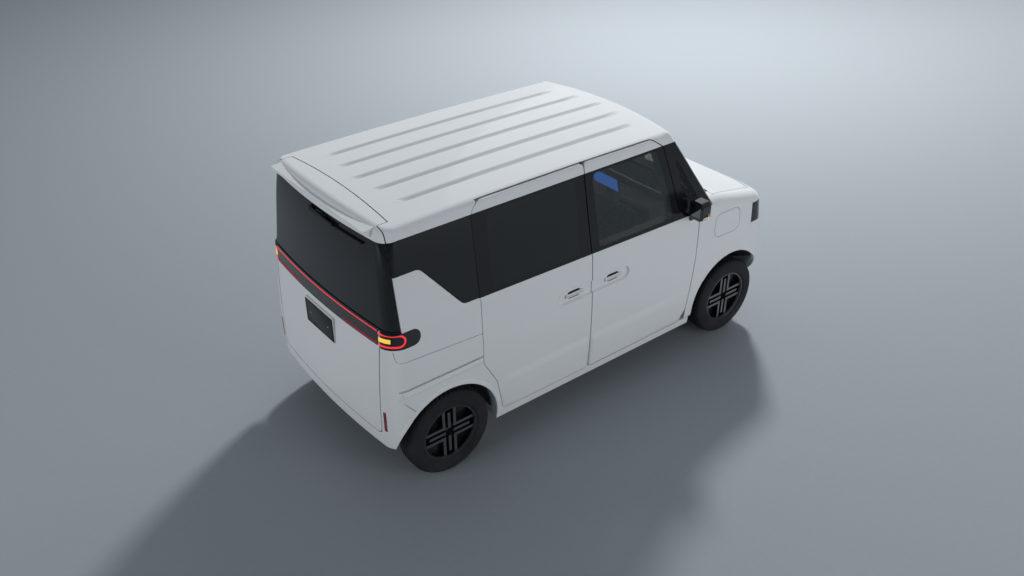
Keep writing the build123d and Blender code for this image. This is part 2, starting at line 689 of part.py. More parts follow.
# The knuckle turns on the leaning king pin, so its ends and its foot lie square to that pin.
KING_R = 24.0
ARM_TOP_Z = 221.7
KING_FOOT_Z = ARM_TOP_Z + SEAT_GAP + KING_R * 0.2175
KING_HEAD_Z = 452.0
knuckle = block(FRONT_AXLE_X - 30, FRONT_AXLE_X + 30, -572, -530, 250, 345)
knuckle += ycyl(FRONT_AXLE_X, -576, -560, AXLE_Z, 60)
knuckle += ycyl(FRONT_AXLE_X, -600, -576, AXLE_Z, 125)
knuckle += ycyl(FRONT_AXLE_X, -664, -600, AXLE_Z, SPINDLE_R)
knuckle += rod((FRONT_AXLE_X, -555, 268), (FRONT_AXLE_X - 115, -530, 268), 13)
square = Plane(origin=king_at(KING_FOOT_Z + 14), z_dir=Vector(*KING_TOP) - Vector(*KING_LOW))
knuckle &= square * Box(800, 800, 400, align=(Align.CENTER, Align.CENTER, Align.MIN))
knuckle += rod(king_at(KING_FOOT_Z), king_at(KING_HEAD_Z), KING_R)
parts["knuckle_right"] = knuckle
parts["knuckle_left"] = flip(knuckle)

subframe = block(1120, 1430, -365, 365, 205, 262)
for s in (-1, 1):
    subframe += xy_prism([(1150, s * 360), (1400, s * 360), (1300, s * 592), (1240, s * 592)], 200, ARM_TOP_Z, 10)
parts["front_suspension"] = subframe
strut = rod(king_at(KING_HEAD_Z + SEAT_GAP), king_at(781), 21) & block(0, 2000, -900, 0, 440, 780)
spring = rod(king_at(640), king_at(800), 55) & block(0, 2000, -900, 0, 640, 780)
strut = strut + spring
parts["front_struts"] = Compound(children=[strut, flip(strut)])
parts["drive_unit"] = block(1010, 1470, -318, 318, 262, 760)

axle = ycyl(REAR_AXLE_X, -560, 560, AXLE_Z, 32)
for s in (-1, 1):
    axle += ycyl(REAR_AXLE_X, s * 560, s * 600, AXLE_Z, 108)
    axle += ycyl(REAR_AXLE_X, s * 600, s * 664, AXLE_Z, SPINDLE_R)
    axle += rod((REAR_AXLE_X, s * 400, AXLE_Z), (-880, s * 400, 330), 22)
    axle += rod((REAR_AXLE_X - 20, s * 378, AXLE_Z), (REAR_AXLE_X - 20, s * 378, 480), 45)
parts["rear_axle"] = axle & block(-2000, -880.3, -900, 900, 0, 479.8)

# Seats, dashboard and steering wheel.
SEAT_Y = 335.0


def front_seat(y):
    seat = xz_prism([(-60, 560), (-70, 460), (400, 460), (430, 570), (380, 610), (60, 590)], y - 230, y + 230, 25)
    seat += xz_prism([(-60, 520), (60, 560), (-30, 1120), (-110, 1110), (-150, 1000)], y - 225, y + 225, 25)
    seat += xz_prism([(-45, 1150), (-60, 1320), (-130, 1320), (-120, 1140)], y - 130, y + 130, 25)
    seat += block(-90, -70, y - 60, y + 60, 1100, 1160)
    seat += block(-20, 380, y - 200, y - 150, 322, 470) + block(-20, 380, y + 150, y + 200, 322, 470)
    return seat


parts["front_seats"] = Compound(children=[front_seat(-SEAT_Y), front_seat(SEAT_Y)])


def rear_seat(y0, y1):
    seat = xz_prism(
        [(-980, 560), (-980, 502), (-859.8, 502), (-859.8, 440), (-470, 440), (-450, 540), (-500, 570)],
        y0,
        y1,
        [20, 5, 0, 0, 20, 20, 20],
    )
    seat += xz_prism([(-990, 520), (-870, 540), (-960, 1060), (-1040, 1050)], y0, y1, 20)
    seat += xz_prism([(-975, 1080), (-990, 1200), (-1050, 1200), (-1040, 1070)], (y0 + y1) / 2 - 110, (y0 + y1) / 2 + 110, 20)
    seat += block(-1030, -1010, (y0 + y1) / 2 - 50, (y0 + y1) / 2 + 50, 1040, 1090)
    seat += block(-820, -560, y0 + 40, y0 + 80, 322, 450) + block(-820, -560, y1 - 80, y1 - 40, 322, 450)
    return seat & block(-1200, 0, -900, 900, 322, 1400)


parts["rear_seats"] = Compound(children=[rear_seat(-425, -5), rear_seat(5, 425)])

STEER_C = Vector(470, -SEAT_Y, 964)
STEER_AX = Vector(-115, 0, 49).normalized()
dash = xz_prism([(560, 700), (560, 980), (640, 1060), (847.7, 1120), (847.7, 640), (700, 640)], -594, 594, 30)
column_end = STEER_C - STEER_AX * 15.3
column_root = STEER_C - STEER_AX * 170
dash += rod(tuple(column_root), tuple(column_end), 28)
parts["dashboard"] = dash
plane = Plane(origin=STEER_C, z_dir=STEER_AX)
ring = Torus(180, 15)
wheel_s = ring + Cylinder(48, 30) + Box(350, 34, 14) + Pos(0, -90, 0) * Box(34, 170, 14)
parts["steering_wheel"] = plane * wheel_s

# Mirrors, wipers.
mirror = fillet(block(718, 812, -872, -748, 1165, 1300).edges().filter_by(Axis.X), 34)
mirror = fillet(mirror.faces().sort_by(Axis.X)[-1].edges(), 24)
mirror = fillet(mirror.faces().sort_by(Axis.X)[0].edges(), 6)
mirror += rod((775, -790, 1180), (775, -722, 1122), 15)
mirror -= OUTER
parts["mirror_right"] = mirror
parts["mirror_left"] = flip(mirror)

for name, shape in parts.items():
    print(name, round(shape.volume / 1e6, 2), "solids", len(shape.solids()))

os.makedirs("parts", exist_ok=True)
for name, shape in parts.items():
    export_step(shape, f"parts/{name}.step")
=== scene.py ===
"""Looks of a tall light van in pearl white, built round its packed frame."""

import math

import bmesh
import bpy
from bpy.props import FloatProperty, FloatVectorProperty, IntProperty, PointerProperty
from mathutils import Matrix, Vector
from mathutils.bvhtree import BVHTree


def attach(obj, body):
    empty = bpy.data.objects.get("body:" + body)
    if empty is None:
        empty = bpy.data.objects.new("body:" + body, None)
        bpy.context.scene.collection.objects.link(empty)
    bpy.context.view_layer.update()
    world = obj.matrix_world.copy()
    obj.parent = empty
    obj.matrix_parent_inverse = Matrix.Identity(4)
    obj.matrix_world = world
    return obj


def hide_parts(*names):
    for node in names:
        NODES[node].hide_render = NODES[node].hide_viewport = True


bl_info = {
    "name": "Tall light van looks",
    "version": (1, 0, 0),
    "blender": (4, 5, 0),
    "location": "View3D > Sidebar > Light Van",
    "description": "Finishes, lamps, tyres, cabin and stage for the light van's frame",
    "category": "Object",
}

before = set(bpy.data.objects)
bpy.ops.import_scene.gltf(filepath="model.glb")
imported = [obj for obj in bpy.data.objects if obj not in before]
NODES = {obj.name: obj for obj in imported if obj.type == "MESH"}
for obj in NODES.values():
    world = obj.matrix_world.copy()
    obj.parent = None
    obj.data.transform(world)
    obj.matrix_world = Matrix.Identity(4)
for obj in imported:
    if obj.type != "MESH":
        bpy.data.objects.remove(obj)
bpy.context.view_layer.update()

FRONT_X = 1.270
REAR_X = -1.250
WHEEL_Y = 0.640
TYRE_R = 0.297
AXLES = {
    "front_right": (FRONT_X, -1),
    "front_left": (FRONT_X, 1),
    "rear_right": (REAR_X, -1),
    "rear_left": (REAR_X, 1),
}
BELT_Z = 1.1605
BELT_DROP = 0.0195
BAND_Z = 1.698
FRONT_SEAT_Y = 0.335
REAR_SEAT_Y = 0.215
GRIP_Z = 0.9315
PULL_INSET = 0.020
PLATE_HOLE_Z = 0.946
NUT_Y = 0.668
NUT_CIRCLE_R = 0.050
SMOOTH_ANGLE = math.radians(38)
FLOOR_HALF = 60.0
SKY_COLOUR = (0.80, 0.90, 1.0, 1.0)
SKY_STRENGTH = 0.24
SENSOR_WIDTH = 36.0
KEY_SOFTNESS = 0.65

# Wiper sections as (across, up) points.
REAR_BLADE = [(-0.004, -0.010), (0.004, -0.010), (0.005, 0.003), (0.0, 0.006), (-0.005, 0.003)]
REAR_ARM = [(-0.007, -0.004), (0.007, -0.004), (0.005, 0.004), (-0.005, 0.004)]
FRONT_BLADE = [(-0.004, -0.011), (0.004, -0.011), (0.006, 0.003), (0.0, 0.007), (-0.006, 0.003)]
FRONT_ARM = [(-0.008, -0.004), (0.008, -0.004), (0.006, 0.004), (-0.006, 0.004)]

# Studio lights: name, kind, place, aim, watts, size, and whether reflections show them.
LIGHTS = (
    ("key", "POINT", (6.0, 4.5, 7.2), (-5.9, -4.3, -6.9), 3850.0, None, False),
    ("side_fill", "AREA", (2.5, -10.0, 2.6), (-2.3, 9.3, -1.9), 350.0, 6.0, False),
    ("rear_fill", "AREA", (-10.0, 0.5, 2.6), (9.0, -0.5, -1.9), 270.0, 6.0, False),
    ("front_fill", "AREA", (8.0, 5.0, 7.0), (-7.5, -5.0, -5.5), 130.0, 9.0, True),
    ("floor_wash", "AREA", (13.0, 2.0, 6.0), (0.0, 0.0, -1.0), 260.0, 5.0, False),
)


class VanPaint(bpy.types.PropertyGroup):
    """Colours of the body and its trim."""

    pearl: FloatVectorProperty(
        name="Body colour", description="Pearl white of the panels", subtype="COLOR", size=3,
        default=(0.70, 0.72, 0.735),
    )
    gloss_black: FloatVectorProperty(
        name="Sash colour", description="Gloss black of the sashes", subtype="COLOR", size=3,
        default=(0.008, 0.009, 0.011),
    )
    trim: FloatVectorProperty(
        name="Trim colour", description="Grained black plastic", subtype="COLOR", size=3,
        default=(0.022, 0.023, 0.025),
    )
    lamp_red: FloatVectorProperty(
        name="Tail light", description="Colour of the lit red line", subtype="COLOR", size=3,
        default=(1.0, 0.03, 0.05),
    )
    lamp_strength: FloatProperty(
        name="Tail light strength", description="Brightness of the lit red line", default=1.0, min=0.0,
        max=50.0,
    )


class VanGlass(bpy.types.PropertyGroup):
    """Tints of the glass."""

    clear_tint: FloatVectorProperty(
        name="Front glass tint", description="Tint of the front glasses", subtype="COLOR", size=3,
        default=(0.055, 0.068, 0.074),
    )
    dark_tint: FloatVectorProperty(
        name="Rear glass tint", description="Tint of the rear glasses", subtype="COLOR", size=3,
        default=(0.006, 0.0075, 0.0105),
    )


class VanTyres(bpy.types.PropertyGroup):
    """Sizes of the tyre tread."""

    groove_depth: FloatProperty(
        name="Groove depth", description="Depth of the tread grooves", unit="LENGTH", default=0.006,
        min=0.0, max=0.012,
    )
    pitches: IntProperty(
        name="Pitches", description="Tread blocks round the tyre", default=60, min=20, max=90,
    )


class VanStage(bpy.types.PropertyGroup):
    """Camera, floor and light of the studio."""

    eye: FloatVectorProperty(
        name="Camera place", description="Where the camera stands", subtype="TRANSLATION", unit="LENGTH",
        size=3, default=(-3.7736, -4.5513, 4.1754),
    )
    azimuth: FloatProperty(
        name="Azimuth", description="Turn about the vertical", subtype="ANGLE",
        default=math.radians(-38.081),
    )
    elevation: FloatProperty(
        name="Elevation", description="Height angle", subtype="ANGLE", default=math.radians(31.743),
    )
    roll: FloatProperty(
        name="Roll", description="Turn about the line of sight", subtype="ANGLE",
        default=math.radians(-0.307),
    )
    lens: FloatProperty(
        name="Focal length", description="On a 36 mm wide sensor, in mm", default=33.816, min=10.0,
        max=200.0,
    )
    floor: FloatVectorProperty(
        name="Floor colour", description="Pale grey floor", subtype="COLOR", size=3,
        default=(0.280, 0.306, 0.329),
    )


def settings(name):
    return getattr(bpy.context.scene, "van_" + name)


# Shader building blocks.


class Nodes:
    """Short hand for placing and joining shader nodes."""

    def __init__(self, tree):
        self.tree = tree

    def add(self, kind, **values):
        node = self.tree.nodes.new(kind)
        for key, value in values.items():
            setattr(node, key, value)
        return node

    def join(self, a, b):
        self.tree.links.new(a, b)

    def math(self, operation, a, b=None, clamp=False):
        node = self.add("ShaderNodeMath", operation=operation, use_clamp=clamp)
        for index, value in ((0, a), (1, b)):
            if value is None:
                continue
            if isinstance(value, (int, float)):
                node.inputs[index].default_value = value
            else:
                self.join(value, node.inputs[index])
        return node.outputs[0]

    def times(self, a, b, clamp=False):
        return self.math("MULTIPLY", a, b, clamp)

    def plus(self, a, b, clamp=False):
        return self.math("ADD", a, b, clamp)

    def less(self, a, b, clamp=False):
        return self.math("SUBTRACT", a, b, clamp)

    def mix(self, factor, a, b):
        node = self.add("ShaderNodeMix", data_type="RGBA")
        for socket, value in ((node.inputs["Factor"], factor), (node.inputs[6], a), (node.inputs[7], b)):
            if isinstance(value, (int, float)):
                socket.default_value = value
            elif isinstance(value, tuple):
                socket.default_value = (*value[:3], 1.0)
            else:
                self.join(value, socket)
        return node.outputs[2]

    def place(self):
        """Coordinates in the part's own frame, in metres."""
        return self.add("ShaderNodeTexCoord").outputs["Object"]

    def split(self, vector):
        node = self.add("ShaderNodeSeparateXYZ")
        self.join(vector, node.inputs[0])
        return node.outputs

    def noise(self, vector, scale, detail=2.0):
        node = self.add("ShaderNodeTexNoise")
        node.inputs["Scale"].default_value = scale
        node.inputs["Detail"].default_value = detail
        self.join(vector, node.inputs["Vector"])
        return node.outputs[0]

    def above(self, value, limit, soft=0.0008):
        """0 below the limit and 1 above it."""
        node = self.add("ShaderNodeMapRange")
        self.join(value, node.inputs["Value"])
        node.inputs["From Min"].default_value = limit - soft
        node.inputs["From Max"].default_value = limit + soft
        return node.outputs[0]


def new_group(name, ins, outs):
    """Empty shader group with its named sockets."""
    tree = bpy.data.node_groups.new(name, "ShaderNodeTree")
    for label, kind, value in ins:
        socket = tree.interface.new_socket(label, in_out="INPUT", socket_type=kind)
        if value is not None:
            socket.default_value = value
    for label, kind in outs:
        tree.interface.new_socket(label, in_out="OUTPUT", socket_type=kind)
    n = Nodes(tree)
    return tree, n, n.add("NodeGroupInput"), n.add("NodeGroupOutput")


def surface_grain():
    """Fine grain of moulded or cast surfaces: a height and a roughness shift."""
    if "surface grain" in bpy.data.node_groups:
        return bpy.data.node_groups["surface grain"]
    tree, n, gin, gout = new_group(
        "surface grain",
        [
            ("Vector", "NodeSocketVector", None), ("Scale", "NodeSocketFloat", 400.0),
            ("Roughness", "NodeSocketFloat", 0.5),
        ],
        [("Height", "NodeSocketFloat"), ("Roughness", "NodeSocketFloat")],
    )
    cells = n.add("ShaderNodeTexVoronoi", feature="SMOOTH_F1")
    cells.inputs["Smoothness"].default_value = 0.6
    noise = n.add("ShaderNodeTexNoise")
    noise.inputs["Detail"].default_value = 4.0
    for node in (cells, noise):
        n.join(gin.outputs["Vector"], node.inputs["Vector"])
    n.join(gin.outputs["Scale"], cells.inputs["Scale"])
    n.join(n.times(gin.outputs["Scale"], 0.31), noise.inputs["Scale"])
    height = n.plus(n.times(cells.outputs["Distance"], 0.7), n.times(noise.outputs[0], 0.5))
    n.join(height, gout.inputs["Height"])
    shift = n.times(n.less(noise.outputs[0], 0.5), 0.25)
    n.join(n.plus(gin.outputs["Roughness"], shift, clamp=True), gout.inputs["Roughness"])
    return tree


def soft_dust():
    """Broad unevenness and a trace of dust that gathers low down."""
    if "soft dust" in bpy.data.node_groups:
        return bpy.data.node_groups["soft dust"]
    tree, n, gin, gout = new_group(
        "soft dust",
        [
            ("Vector", "NodeSocketVector", None),
            ("Color", "NodeSocketColor", (0.8, 0.8, 0.8, 1.0)),
            ("Dust color", "NodeSocketColor", (0.30, 0.29, 0.27, 1.0)),
            ("Amount", "NodeSocketFloat", 0.1),
            ("Top", "NodeSocketFloat", 0.5),
        ],
        [("Color", "NodeSocketColor"), ("Mask", "NodeSocketFloat")],
    )
    noise = n.noise(gin.outputs["Vector"], 9.0, 6.0)
    z = n.split(gin.outputs["Vector"])[2]
    fade = n.add("ShaderNodeMapRange")
    n.join(z, fade.inputs["Value"])
    n.join(gin.outputs["Top"], fade.inputs["From Min"])
    fade.inputs["From Max"].default_value = 0.1
    low = n.times(fade.outputs[0], 1.0, clamp=True)
    patch = n.times(n.less(noise, 0.35, clamp=True), 2.0, clamp=True)
    mask = n.times(n.times(patch, n.plus(low, 0.15)), gin.outputs["Amount"], clamp=True)
    n.join(n.mix(mask, gin.outputs["Color"], gin.outputs["Dust color"]), gout.inputs["Color"])
    n.join(mask, gout.inputs["Mask"])
    return tree


def cloth_weave():
    """Woven cloth: two crossing threads as a height and a colour mask."""
    if "cloth weave" in bpy.data.node_groups:
        return bpy.data.node_groups["cloth weave"]
    tree, n, gin, gout = new_group(
        "cloth weave",
        [("Vector", "NodeSocketVector", None), ("Threads", "NodeSocketFloat", 700.0)],
        [("Height", "NodeSocketFloat"), ("Mask", "NodeSocketFloat")],
    )
    x, y, z = n.split(gin.outputs["Vector"])
    along = n.math("SINE", n.times(n.plus(x, n.times(z, 0.9)), gin.outputs["Threads"]))
    across = n.math("SINE", n.times(y, gin.outputs["Threads"]))
    height = n.times(n.plus(n.times(along, across), 1.0), 0.5)
    noise = n.noise(gin.outputs["Vector"], 60.0)
    n.join(height, gout.inputs["Height"])
    n.join(n.times(n.plus(height, noise), 0.5), gout.inputs["Mask"])
    return tree


def use_group(n, tree, **values):
    node = n.add("ShaderNodeGroup", node_tree=tree)
    for key, value in values.items():
        socket = node.inputs[key.replace("_", " ")]
        if isinstance(value, (int, float)):
            socket.default_value = value
        elif isinstance(value, tuple):
            socket.default_value = (*value, 1.0) if len(value) == 3 else value
        else:
            n.join(value, socket)
    return node


def material(name, **constants):
    """Material with a Principled shader, its constants set on the sockets."""
    mat = bpy.data.materials.new(name)
    mat.use_nodes = True
    n = Nodes(mat.node_tree)
    shader = mat.node_tree.nodes["Principled BSDF"]
    for key, value in constants.items():
        socket = shader.inputs[key.replace("_", " ")]
        socket.default_value = (*value, 1.0) if isinstance(value, tuple) and len(value) == 3 else value
    return mat, n, shader


def bump(n, shader, height, strength, distance=0.001):
    node = n.add("ShaderNodeBump")
    node.inputs["Strength"].default_value = strength
    node.inputs["Distance"].default_value = distance
    n.join(height, node.inputs["Height"])
    n.join(node.outputs[0], shader.inputs["Normal"])


MATS = {}


def built_once(build):
    """Keep each material under its name, so it is built only once."""

    def kept(name, *values, **more):
        if name not in MATS:
            MATS[name] = build(name, *values, **more)
        return MATS[name]

    return kept


def faces_cabin(n, inward):
    """1 on faces that look into the cabin: inward gives the sum of normal parts that does so."""
    normal = n.split(n.add("ShaderNodeTexCoord").outputs["Normal"])
    return n.above(inward(n, *normal, *n.split(n.place())), 0.30, 0.02)


@built_once
def paint(name, sash=None, inward=None, lining=(0.03, 0.031, 0.033), painted_shade_zone=None):
    """Pearl white enamel with a faint orange peel. Faces towards the cabin get a soft lining,
    a sash zone turns gloss black, and a painted-shade zone is darkened grey as painted shade."""
    look = settings("paint")
    mat, n, shader = material(
        name, Coat_Weight=0.45, Coat_Roughness=0.05, Coat_IOR=1.5, Specular_IOR_Level=0.25,
    )
    place = n.place()
    flakes = n.noise(place, 900.0)
    pearl = tuple(look.pearl)
    bright = tuple(min(1.0, c * 1.05) for c in pearl)
    colour = n.mix(flakes, pearl, bright)
    dust = use_group(n, soft_dust(), Vector=place, Color=colour, Amount=0.10, Top=0.55)
    colour = dust.outputs["Color"]
    rough = n.plus(n.times(dust.outputs["Mask"], 1.5), 0.48, clamp=True)
    # Painted shade: the zone's colour is mixed towards grey and stands for shade in its hollows.
    if painted_shade_zone is not None:
        mask = n.times(painted_shade_zone(n, *n.split(place)), 0.55)
        colour = n.mix(mask, colour, (0.22, 0.225, 0.23))
    if inward is not None:
        mask = faces_cabin(n, inward)
        grain = use_group(n, surface_grain(), Vector=place, Scale=500.0, Roughness=0.8)
        colour = n.mix(
            mask, colour, n.mix(grain.outputs["Height"], tuple(c * 0.92 for c in lining), lining)
        )
        rough = n.plus(rough, n.times(mask, 0.45), clamp=True)
        n.join(n.times(n.less(1.0, mask, clamp=True), 0.45), shader.inputs["Coat Weight"])
    if sash is not None:
        mask = sash(n, *n.split(place))
        colour = n.mix(mask, colour, tuple(look.gloss_black))
        rough = n.less(rough, n.times(mask, 0.22), clamp=True)
    n.join(colour, shader.inputs["Base Color"])
    n.join(rough, shader.inputs["Roughness"])
    bump(n, shader, n.noise(place, 260.0, 1.0), 0.03, 0.0004)
    return mat


@built_once
def gloss_black(name):
    mat, n, shader = material(name, Roughness=0.12, Coat_Weight=0.6, Coat_Roughness=0.05)
    place = n.place()
    base = tuple(settings("paint").gloss_black)
    dust = use_group(n, soft_dust(), Vector=place, Color=base, Amount=0.10, Top=0.6)
    n.join(dust.outputs["Color"], shader.inputs["Base Color"])
    grain = use_group(n, surface_grain(), Vector=place, Scale=180.0, Roughness=0.14)
    n.join(grain.outputs["Roughness"], shader.inputs["Roughness"])
    bump(n, shader, grain.outputs["Height"], 0.02, 0.0003)
    return mat


@built_once
def grained(name, colour, roughness=0.6, scale=900.0, strength=0.25, **more):
    """Moulded plastic or coated metal with a visible grain."""
    mat, n, shader = material(name, **more)
    place = n.place()
    grain = use_group(n, surface_grain(), Vector=place, Scale=scale, Roughness=roughness)
    dust = use_group(n, soft_dust(), Vector=place, Color=colour, Amount=0.25, Top=0.6)
    n.join(dust.outputs["Color"], shader.inputs["Base Color"])
    n.join(grain.outputs["Roughness"], shader.inputs["Roughness"])
    bump(n, shader, grain.outputs["Height"], strength, 0.0006)
    return mat


@built_once
def glass(name, tint, alpha, clear=None):
    """Thin vehicle glass: mostly see-through with a reflecting face. A clear zone lets more through."""
    mat, n, shader = material(name, Roughness=0.02, IOR=1.5, Specular_IOR_Level=0.6)
    place = n.place()
    film = n.noise(place, 5.0)
    darker = tuple(c * 0.85 for c in tint)
    n.join(n.mix(film, darker, tint), shader.inputs["Base Color"])
    facing = n.add("ShaderNodeLayerWeight")
    facing.inputs["Blend"].default_value = 0.35
    edge = n.times(facing.outputs["Facing"], 0.35)
    if clear is not None:
        alpha = n.less(alpha, n.times(clear(n, *n.split(place)), alpha - 0.30))
    n.join(n.plus(edge, alpha, clamp=True), shader.inputs["Alpha"])
    n.join(n.plus(n.times(film, 0.03), 0.01), shader.inputs["Roughness"])
    return mat


@built_once
def rubber(name):
    """Tyre rubber with a fine grain and a dusty tread."""
    mat, n, shader = material(name, Specular_IOR_Level=0.35)
    place = n.place()
    grain = use_group(n, surface_grain(), Vector=place, Scale=420.0, Roughness=0.74)
    dust = use_group(
        n, soft_dust(), Vector=place, Color=(0.018, 0.018, 0.02), Dust_color=(0.065, 0.065, 0.066),
        Amount=0.35, Top=0.7,
    )
    n.join(dust.outputs["Color"], shader.inputs["Base Color"])
    n.join(grain.outputs["Roughness"], shader.inputs["Roughness"])
    bump(n, shader, grain.outputs["Height"], 0.3, 0.0006)
    return mat


@built_once
def cloth(name, colour, second, threads=700.0):
    mat, n, shader = material(name, Roughness=0.85, Sheen_Weight=0.3, Sheen_Roughness=0.5)
    weave = use_group(n, cloth_weave(), Vector=n.place(), Threads=threads)
    n.join(n.mix(weave.outputs["Mask"], colour, second), shader.inputs["Base Color"])
    bump(n, shader, weave.outputs["Height"], 0.5, 0.0008)
    return mat


@built_once
def lit(name, colour, strength, base=(0.02, 0.002, 0.003)):
    """A lamp's glowing line behind a clear face."""
    mat, n, shader = material(name, Roughness=0.15, Coat_Weight=0.8, Emission_Strength=strength)
    ripple = n.noise(n.place(), 140.0)
    n.join(n.mix(ripple, tuple(c * 0.9 for c in colour), colour), shader.inputs["Emission Color"])
    n.join(n.mix(ripple, base, tuple(0.3 * c for c in colour)), shader.inputs["Base Color"])
    return mat


@built_once
def wheel_finish(name, x, side):
    """Black wheel whose outermost faces are machined bright."""
    mat, n, shader = material(name, Coat_Weight=0.5, Coat_Roughness=0.08)
    place = n.place()
    px, py, pz = n.split(place)
    dx = n.less(px, x)
    dz = n.less(pz, TYRE_R)
    radius = n.math("SQRT", n.plus(n.times(dx, dx), n.times(dz, dz)))
    out = n.times(py, float(side))
    face = n.above(out, WHEEL_Y + 0.0585)
    inside = n.less(1.0, n.above(radius, 0.1835), clamp=True)
    bars = n.times(face, inside)
    lip = n.times(n.above(out, WHEEL_Y + 0.0705), n.above(radius, 0.186))
    mask = n.plus(bars, n.times(lip, 0.15), clamp=True)
    stretch = n.add("ShaderNodeCombineXYZ")
    n.join(n.times(radius, 2600.0), stretch.inputs[0])
    n.join(n.times(out, 30.0), stretch.inputs[1])
    brush = n.noise(stretch.outputs[0], 1.0)
    bright = n.mix(brush, (0.12, 0.123, 0.132), (0.20, 0.204, 0.214))
    n.join(n.mix(mask, (0.006, 0.006, 0.007), bright), shader.inputs["Base Color"])
    n.join(n.times(mask, 0.75), shader.inputs["Metallic"])
    n.join(n.plus(n.times(brush, 0.12), 0.18), shader.inputs["Roughness"])
    bump(n, shader, brush, 0.04, 0.0002)
    return mat


@built_once
def metal(name, colour, roughness, scale=500.0, strength=0.15):
    mat, n, shader = material(name, Metallic=1.0)
    place = n.place()
    grain = use_group(n, surface_grain(), Vector=place, Scale=scale, Roughness=roughness)
    dust = use_group(n, soft_dust(), Vector=place, Color=colour, Amount=0.3, Top=0.6)
    n.join(dust.outputs["Color"], shader.inputs["Base Color"])
    n.join(grain.outputs["Roughness"], shader.inputs["Roughness"])
    bump(n, shader, grain.outputs["Height"], strength, 0.0006)
    return mat


# Mesh building blocks.


def set_material(obj, mat):
    obj.data.materials.clear()
    obj.data.materials.append(mat)


def finish(mat, *names):
    """Give carried-over nodes one material."""
    for name in names:
        set_material(NODES[name], mat)


def piece(name, bm, mat, body, smooth=True):
    """Finish a bmesh as a piece that rides on a body."""
    mesh = bpy.data.meshes.new(name)
    bmesh.ops.recalc_face_normals(bm, faces=bm.faces)
    bm.to_mesh(mesh)
    bm.free()
    obj = bpy.data.objects.new(name, mesh)
    bpy.context.scene.collection.objects.link(obj)
    if smooth:
        mesh.shade_smooth()
        mesh.set_sharp_from_angle(angle=SMOOTH_ANGLE)
    set_material(obj, mat)
    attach(obj, body)
    return obj


def add_box(bm, low, high, bevel=0.0, segments=2, matrix=None):
    """Box from two corners, with rounded edges."""
    made = bmesh.ops.create_cube(bm, size=1.0)
    verts = made["verts"]
    size = Vector(high) - Vector(low)
    mid = (Vector(high) + Vector(low)) / 2
    for v in verts:
        v.co = Vector((v.co.x * size.x, v.co.y * size.y, v.co.z * size.z)) + mid
    if bevel:
        edges = list({e for v in verts for e in v.link_edges})
        out = bmesh.ops.bevel(bm, geom=edges, offset=bevel, segments=segments, profile=0.5, affect="EDGES")
        verts = list({v for f in out["faces"] for v in f.verts} | {v for v in verts if v.is_valid})
    if matrix is not None:
        for v in verts:
            v.co = matrix @ v.co
    return verts


def add_sweep(bm, path, section, closed=False, ups=None):
    """Sweep a closed section of (across, up) points along a path of points."""
    count = len(path)
    rings = []
    for i, p in enumerate(path):
        p = Vector(p)
        before = Vector(path[i - 1]) if (i or closed) else p
        after = Vector(path[(i + 1) % count]) if (i < count - 1 or closed) else p
        ahead = (after - before).normalized()
        up = Vector(ups[i]) if ups is not None else Vector((0, 0, 1))
        across = ahead.cross(up).normalized()
        up = across.cross(ahead).normalized()
        rings.append([bm.verts.new(p + across * a + up * b) for a, b in section])
    pairs = list(zip(rings, rings[1:])) + ([(rings[-1], rings[0])] if closed else [])
    m = len(section)
    for one, two in pairs:
        for j in range(m):
            bm.faces.new((one[j], one[(j + 1) % m], two[(j + 1) % m], two[j]))
    if not closed:
        bm.faces.new(rings[0])
        bm.faces.new(list(reversed(rings[-1])))
    return rings


def add_tube(bm, path, radius, sides=10, closed=False):
    ring = [
        (
            radius * math.cos(2 * math.pi * k / sides), radius * math.sin(2 * math.pi * k / sides),
        ) for k in range(sides)
    ]
    ups = []
    for i in range(len(path)):
        a = Vector(path[max(i - 1, 0)])
        b = Vector(path[min(i + 1, len(path) - 1)])
        d = (b - a).normalized()
        ups.append(Vector((0, 0, 1)) if abs(d.z) < 0.9 else Vector((1, 0, 0)))
    return add_sweep(bm, path, ring, closed, ups)


def add_lathe(bm, profile, origin, axis="Y", segments=64):
    """Turn (radius, along) points about an axis through the origin."""
    rings = []
    for k in range(segments):
        a = 2 * math.pi * k / segments
        ring = []
        for r, h in profile:
            c, s = r * math.cos(a), r * math.sin(a)
            local = (c, h, s) if axis == "Y" else (h, c, s)
            ring.append(bm.verts.new(Vector(origin) + Vector(local)))
        rings.append(ring)
    last = len(profile) - 1
    for k in range(segments):
        one, two = rings[k], rings[(k + 1) % segments]
        for j in range(last):
            if one[j].co == two[j].co and one[j + 1].co == two[j + 1].co:
                continue
            bm.faces.new((one[j], one[j + 1], two[j + 1], two[j]))


